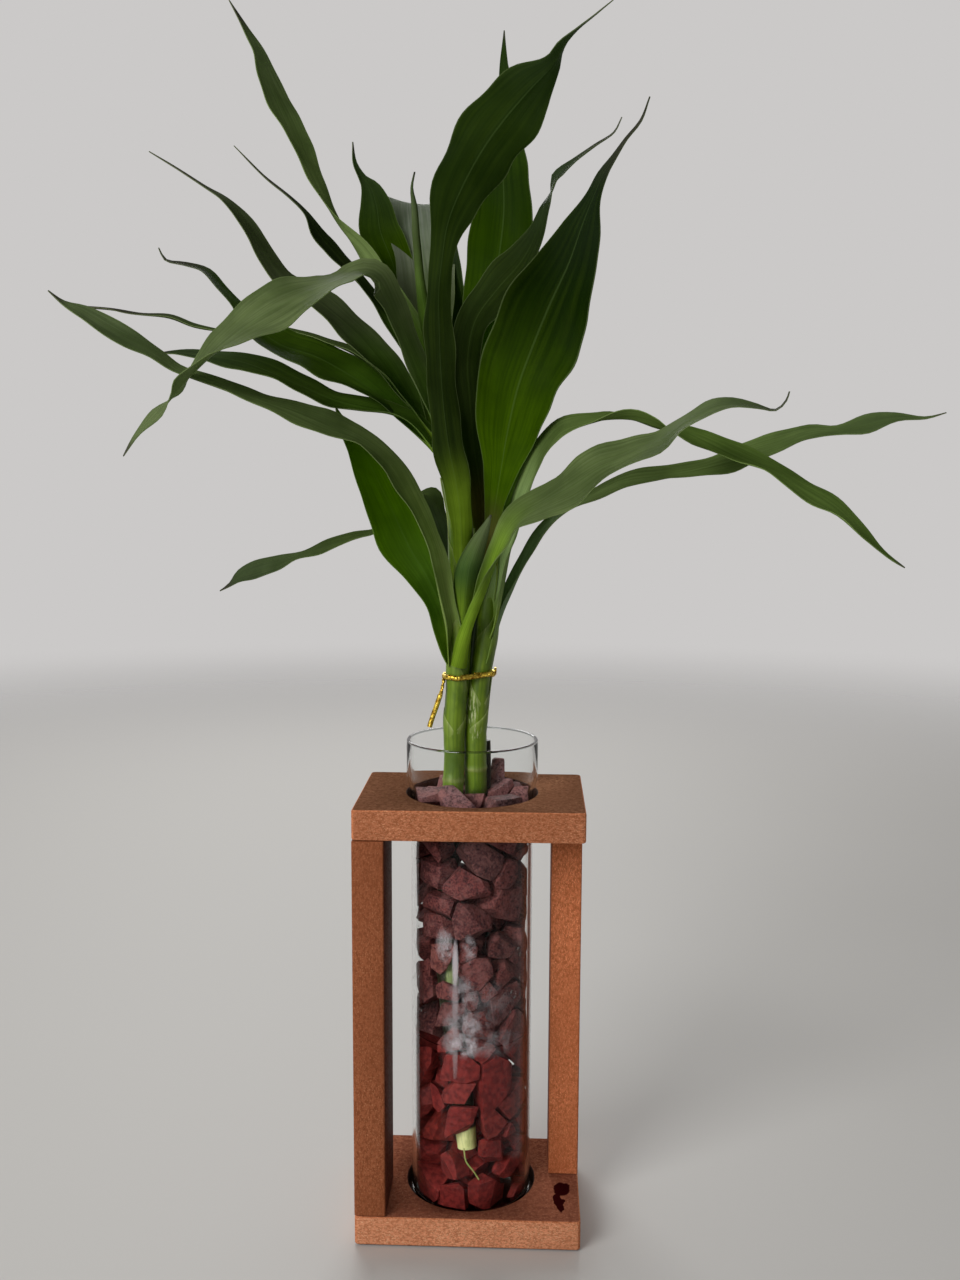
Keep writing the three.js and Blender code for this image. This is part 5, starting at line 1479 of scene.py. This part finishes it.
# Light and floor
def add_light(name, place, aim, size, power):
    data = bpy.data.lights.new(name, "AREA")
    data.shape = "RECTANGLE"
    data.size, data.size_y = size
    data.energy = power
    light = bpy.data.objects.new(name, data)
    light.location = place
    light.rotation_euler = (Vector(aim) - Vector(place)).to_track_quat("-Z", "Y").to_euler()
    light.visible_camera = False
    light.visible_transmission = False
    bpy.context.collection.objects.link(light)


def add_stage():
    mesh = bpy.data.meshes.new("table_top")
    # in metres: it lies just below the base board
    radius, drop, sides = 2.0, 0.0005, 96
    points = circle_points(radius, -drop, round_the_circle(sides))
    mesh.from_pydata(points.tolist(), [], [tuple(range(sides))])
    mesh.materials.append(floor_finish())
    table = bpy.data.objects.new("table_top", mesh)
    bpy.context.collection.objects.link(table)
    world = bpy.data.worlds.new("studio")
    bpy.context.scene.world = world
    world.use_nodes = True
    tree = world.node_tree
    way = add_node(tree, "ShaderNodeTexCoord").outputs["Generated"]
    split = add_node(tree, "ShaderNodeSeparateXYZ", {0: way})
    # the room is dimmer in front of the plant and above it
    shares = []
    for axis, limits in (("Y", (0.6, -0.3, 1.0, 0.3)), ("Z", (0.45, 0.95, 1.0, 0.4))):
        inputs = dict(zip(("From Min", "From Max", "To Min", "To Max"), limits))
        inputs["Value"] = split.outputs[axis]
        dim = add_node(tree, "ShaderNodeMapRange", inputs, interpolation_type="SMOOTHSTEP")
        shares.append(dim.outputs[0])
    strength = add_node(tree, "ShaderNodeMath", enumerate(shares), operation="MULTIPLY").outputs[0]
    background = tree.nodes["Background"]
    background.inputs["Color"].default_value = tint(203, 201, 200)
    tree.links.new(strength, background.inputs["Strength"])
    add_light("window", (-0.85, -1.05, 0.85), (0, 0, 0.22), (0.8, 0.8), 16)
    add_light("back", (-0.2, 1.1, 0.9), (0, 0, 0.35), (0.9, 0.7), 8)


add_camera()
add_stage()
bpy.context.scene.view_settings.view_transform = "Standard"

# Screen colours of the wood, from dark to light
EDGE = [(150, 88, 56), (190, 120, 84), (230, 172, 132)]
# The base board's edges are painted paler than the top board's, as light thrown up onto them by the table
TABLE_LIT_EDGE = [(184, 116, 80), (232, 156, 116), (255, 214, 170)]
FACE = [(92, 61, 44), (114, 78, 58), (138, 100, 76)]
POST_EDGE = [(146, 82, 50), (172, 101, 66), (204, 136, 96)]
BASE_FACE = [(124, 72, 54), (152, 94, 70), (178, 122, 94)]
POST_FACE = [(94, 50, 36), (114, 62, 44), (134, 82, 58)]
# The holes' walls and floors are painted near black, as the shade inside them
HOLE_SHADE = [(44, 25, 18), (60, 36, 26), (78, 48, 35)]
# How fine the fibres are along x, y and z
BOARD_FIBRES = (0.75, 0.9, 1.3)
POST_FIBRES = (1.1, 1.1, 0.6)
FACE_FIBRES = (0.5, 0.5, 0.5)
shaded_hole_wood = board_finish("stand_wood_hole_shade", (0.9, 0.9, 0.9), HOLE_SHADE, 0.12)
base_edge = board_finish("stand_wood_base_edge", BOARD_FIBRES, TABLE_LIT_EDGE, 0.12)
base_face = board_finish("stand_wood_base_face", FACE_FIBRES, BASE_FACE, 0.04, stain=True, gloss=0)
top_edge = board_finish("stand_wood_top_edge", BOARD_FIBRES, EDGE, 0.12, tone=1.02)
top_face = board_finish("stand_wood_top_face", FACE_FIBRES, FACE, 0.04, tone=1.18, gloss=0)
post_edge = board_finish("stand_wood_left_edge", POST_FIBRES, POST_EDGE, 0.12, tone=0.92)
post_face = board_finish("stand_wood_left_face", FACE_FIBRES, POST_FACE, 0.04)
right_edge = board_finish("stand_wood_right_edge", POST_FIBRES, POST_EDGE, 0.12, tone=1.24)
right_face = board_finish("stand_wood_right_face", FACE_FIBRES, POST_FACE, 0.04, tone=1.3)
worn_corner = board_finish("stand_wood_corner", BOARD_FIBRES, EDGE, 0.12, tone=1.16)
low_woods = [base_edge, base_face, worn_corner, shaded_hole_wood]
board("holder_base", 0, HOLE_RADIUS, STAND["board"] - RECESS_DEPTH, low_woods, ["base_board"])
high_woods = [top_edge, top_face, worn_corner, shaded_hole_wood]
board("holder_top", STAND["height"] - STAND["board"], HOLE_RADIUS, 0, high_woods, ["top_board"])
post_x = (STAND["width"] - POST["width"]) / 2
post_y = (STAND["depth"] - POST["depth"]) / 2
post("holder_post_left", -post_x, -post_y, [post_edge, post_face, post_edge], ["post_front_left"])
post("holder_post_right", post_x, post_y, [right_edge, right_face, right_edge], ["post_back_right"])

glass_tube(
    clear_finish("clear_glass", (0.97, 0.98, 0.98, 1), 1.15, 0.02),
    clear_finish("clear_glass_rim", (0.27, 0.3, 0.3, 1), 1.5, 0.02),
)
water_clear = clear_finish("water", (0.97, 0.98, 0.97, 1), 1.1, 0.01)
water(water_clear)
stones = stone_finish()
gravel(stones)
standing_stone(stones)
glass_mist_and_shine(mist_and_shine_finish())
droplets(water_clear)

cane_green = stem_finish("cane")
cut_end = Finish("cane_cut", Base_Color=tint(222, 220, 150), Roughness=0.6)
rays = cut_end.noise(cut_end.place(scale=(0.9, 0.9, 0.9)), detail=4)
cut_end.set(Base_Color=cut_end.mix(cut_end.spread(rays, 0.35, 0.7), tint(226, 224, 160), tint(196, 188, 112)))
cane("left_cane", CANE_LEFT, cane_green, cut_end.material, ["cane_left"])
cane("right_cane", CANE_RIGHT, cane_green, cut_end.material, ["cane_right"])

stalk_green = stem_finish("stalk")
stalk_papery = stem_finish("stalk_papery", PAPER)
broad_leaf = leaf_finish("leaf", 0.02, 0.34)
thin_leaf = leaf_finish("leaf_thin", 0, 0.2)
BROAD = 23.5  # leaves wider than this are bright enough to show the light through them
stalk("left_stalk", STALK_LEFT, SHEATHS["left"], stalk_green, ["leaves_left"])
stalk("right_stalk", STALK_RIGHT, SHEATHS["right"], stalk_papery, ["leaves_right"], beside=BETWEEN)
for leaves, node in ((LEAVES_LEFT, "leaves_left"), (LEAVES_RIGHT, "leaves_right")):
    for number, (name, leaf) in enumerate(leaves.items()):
        widest = max(station[3] for station in leaf["stations"])
        blade(name, leaf, number, broad_leaf if widest > BROAD else thin_leaf, [node])

tie(foil_finish())
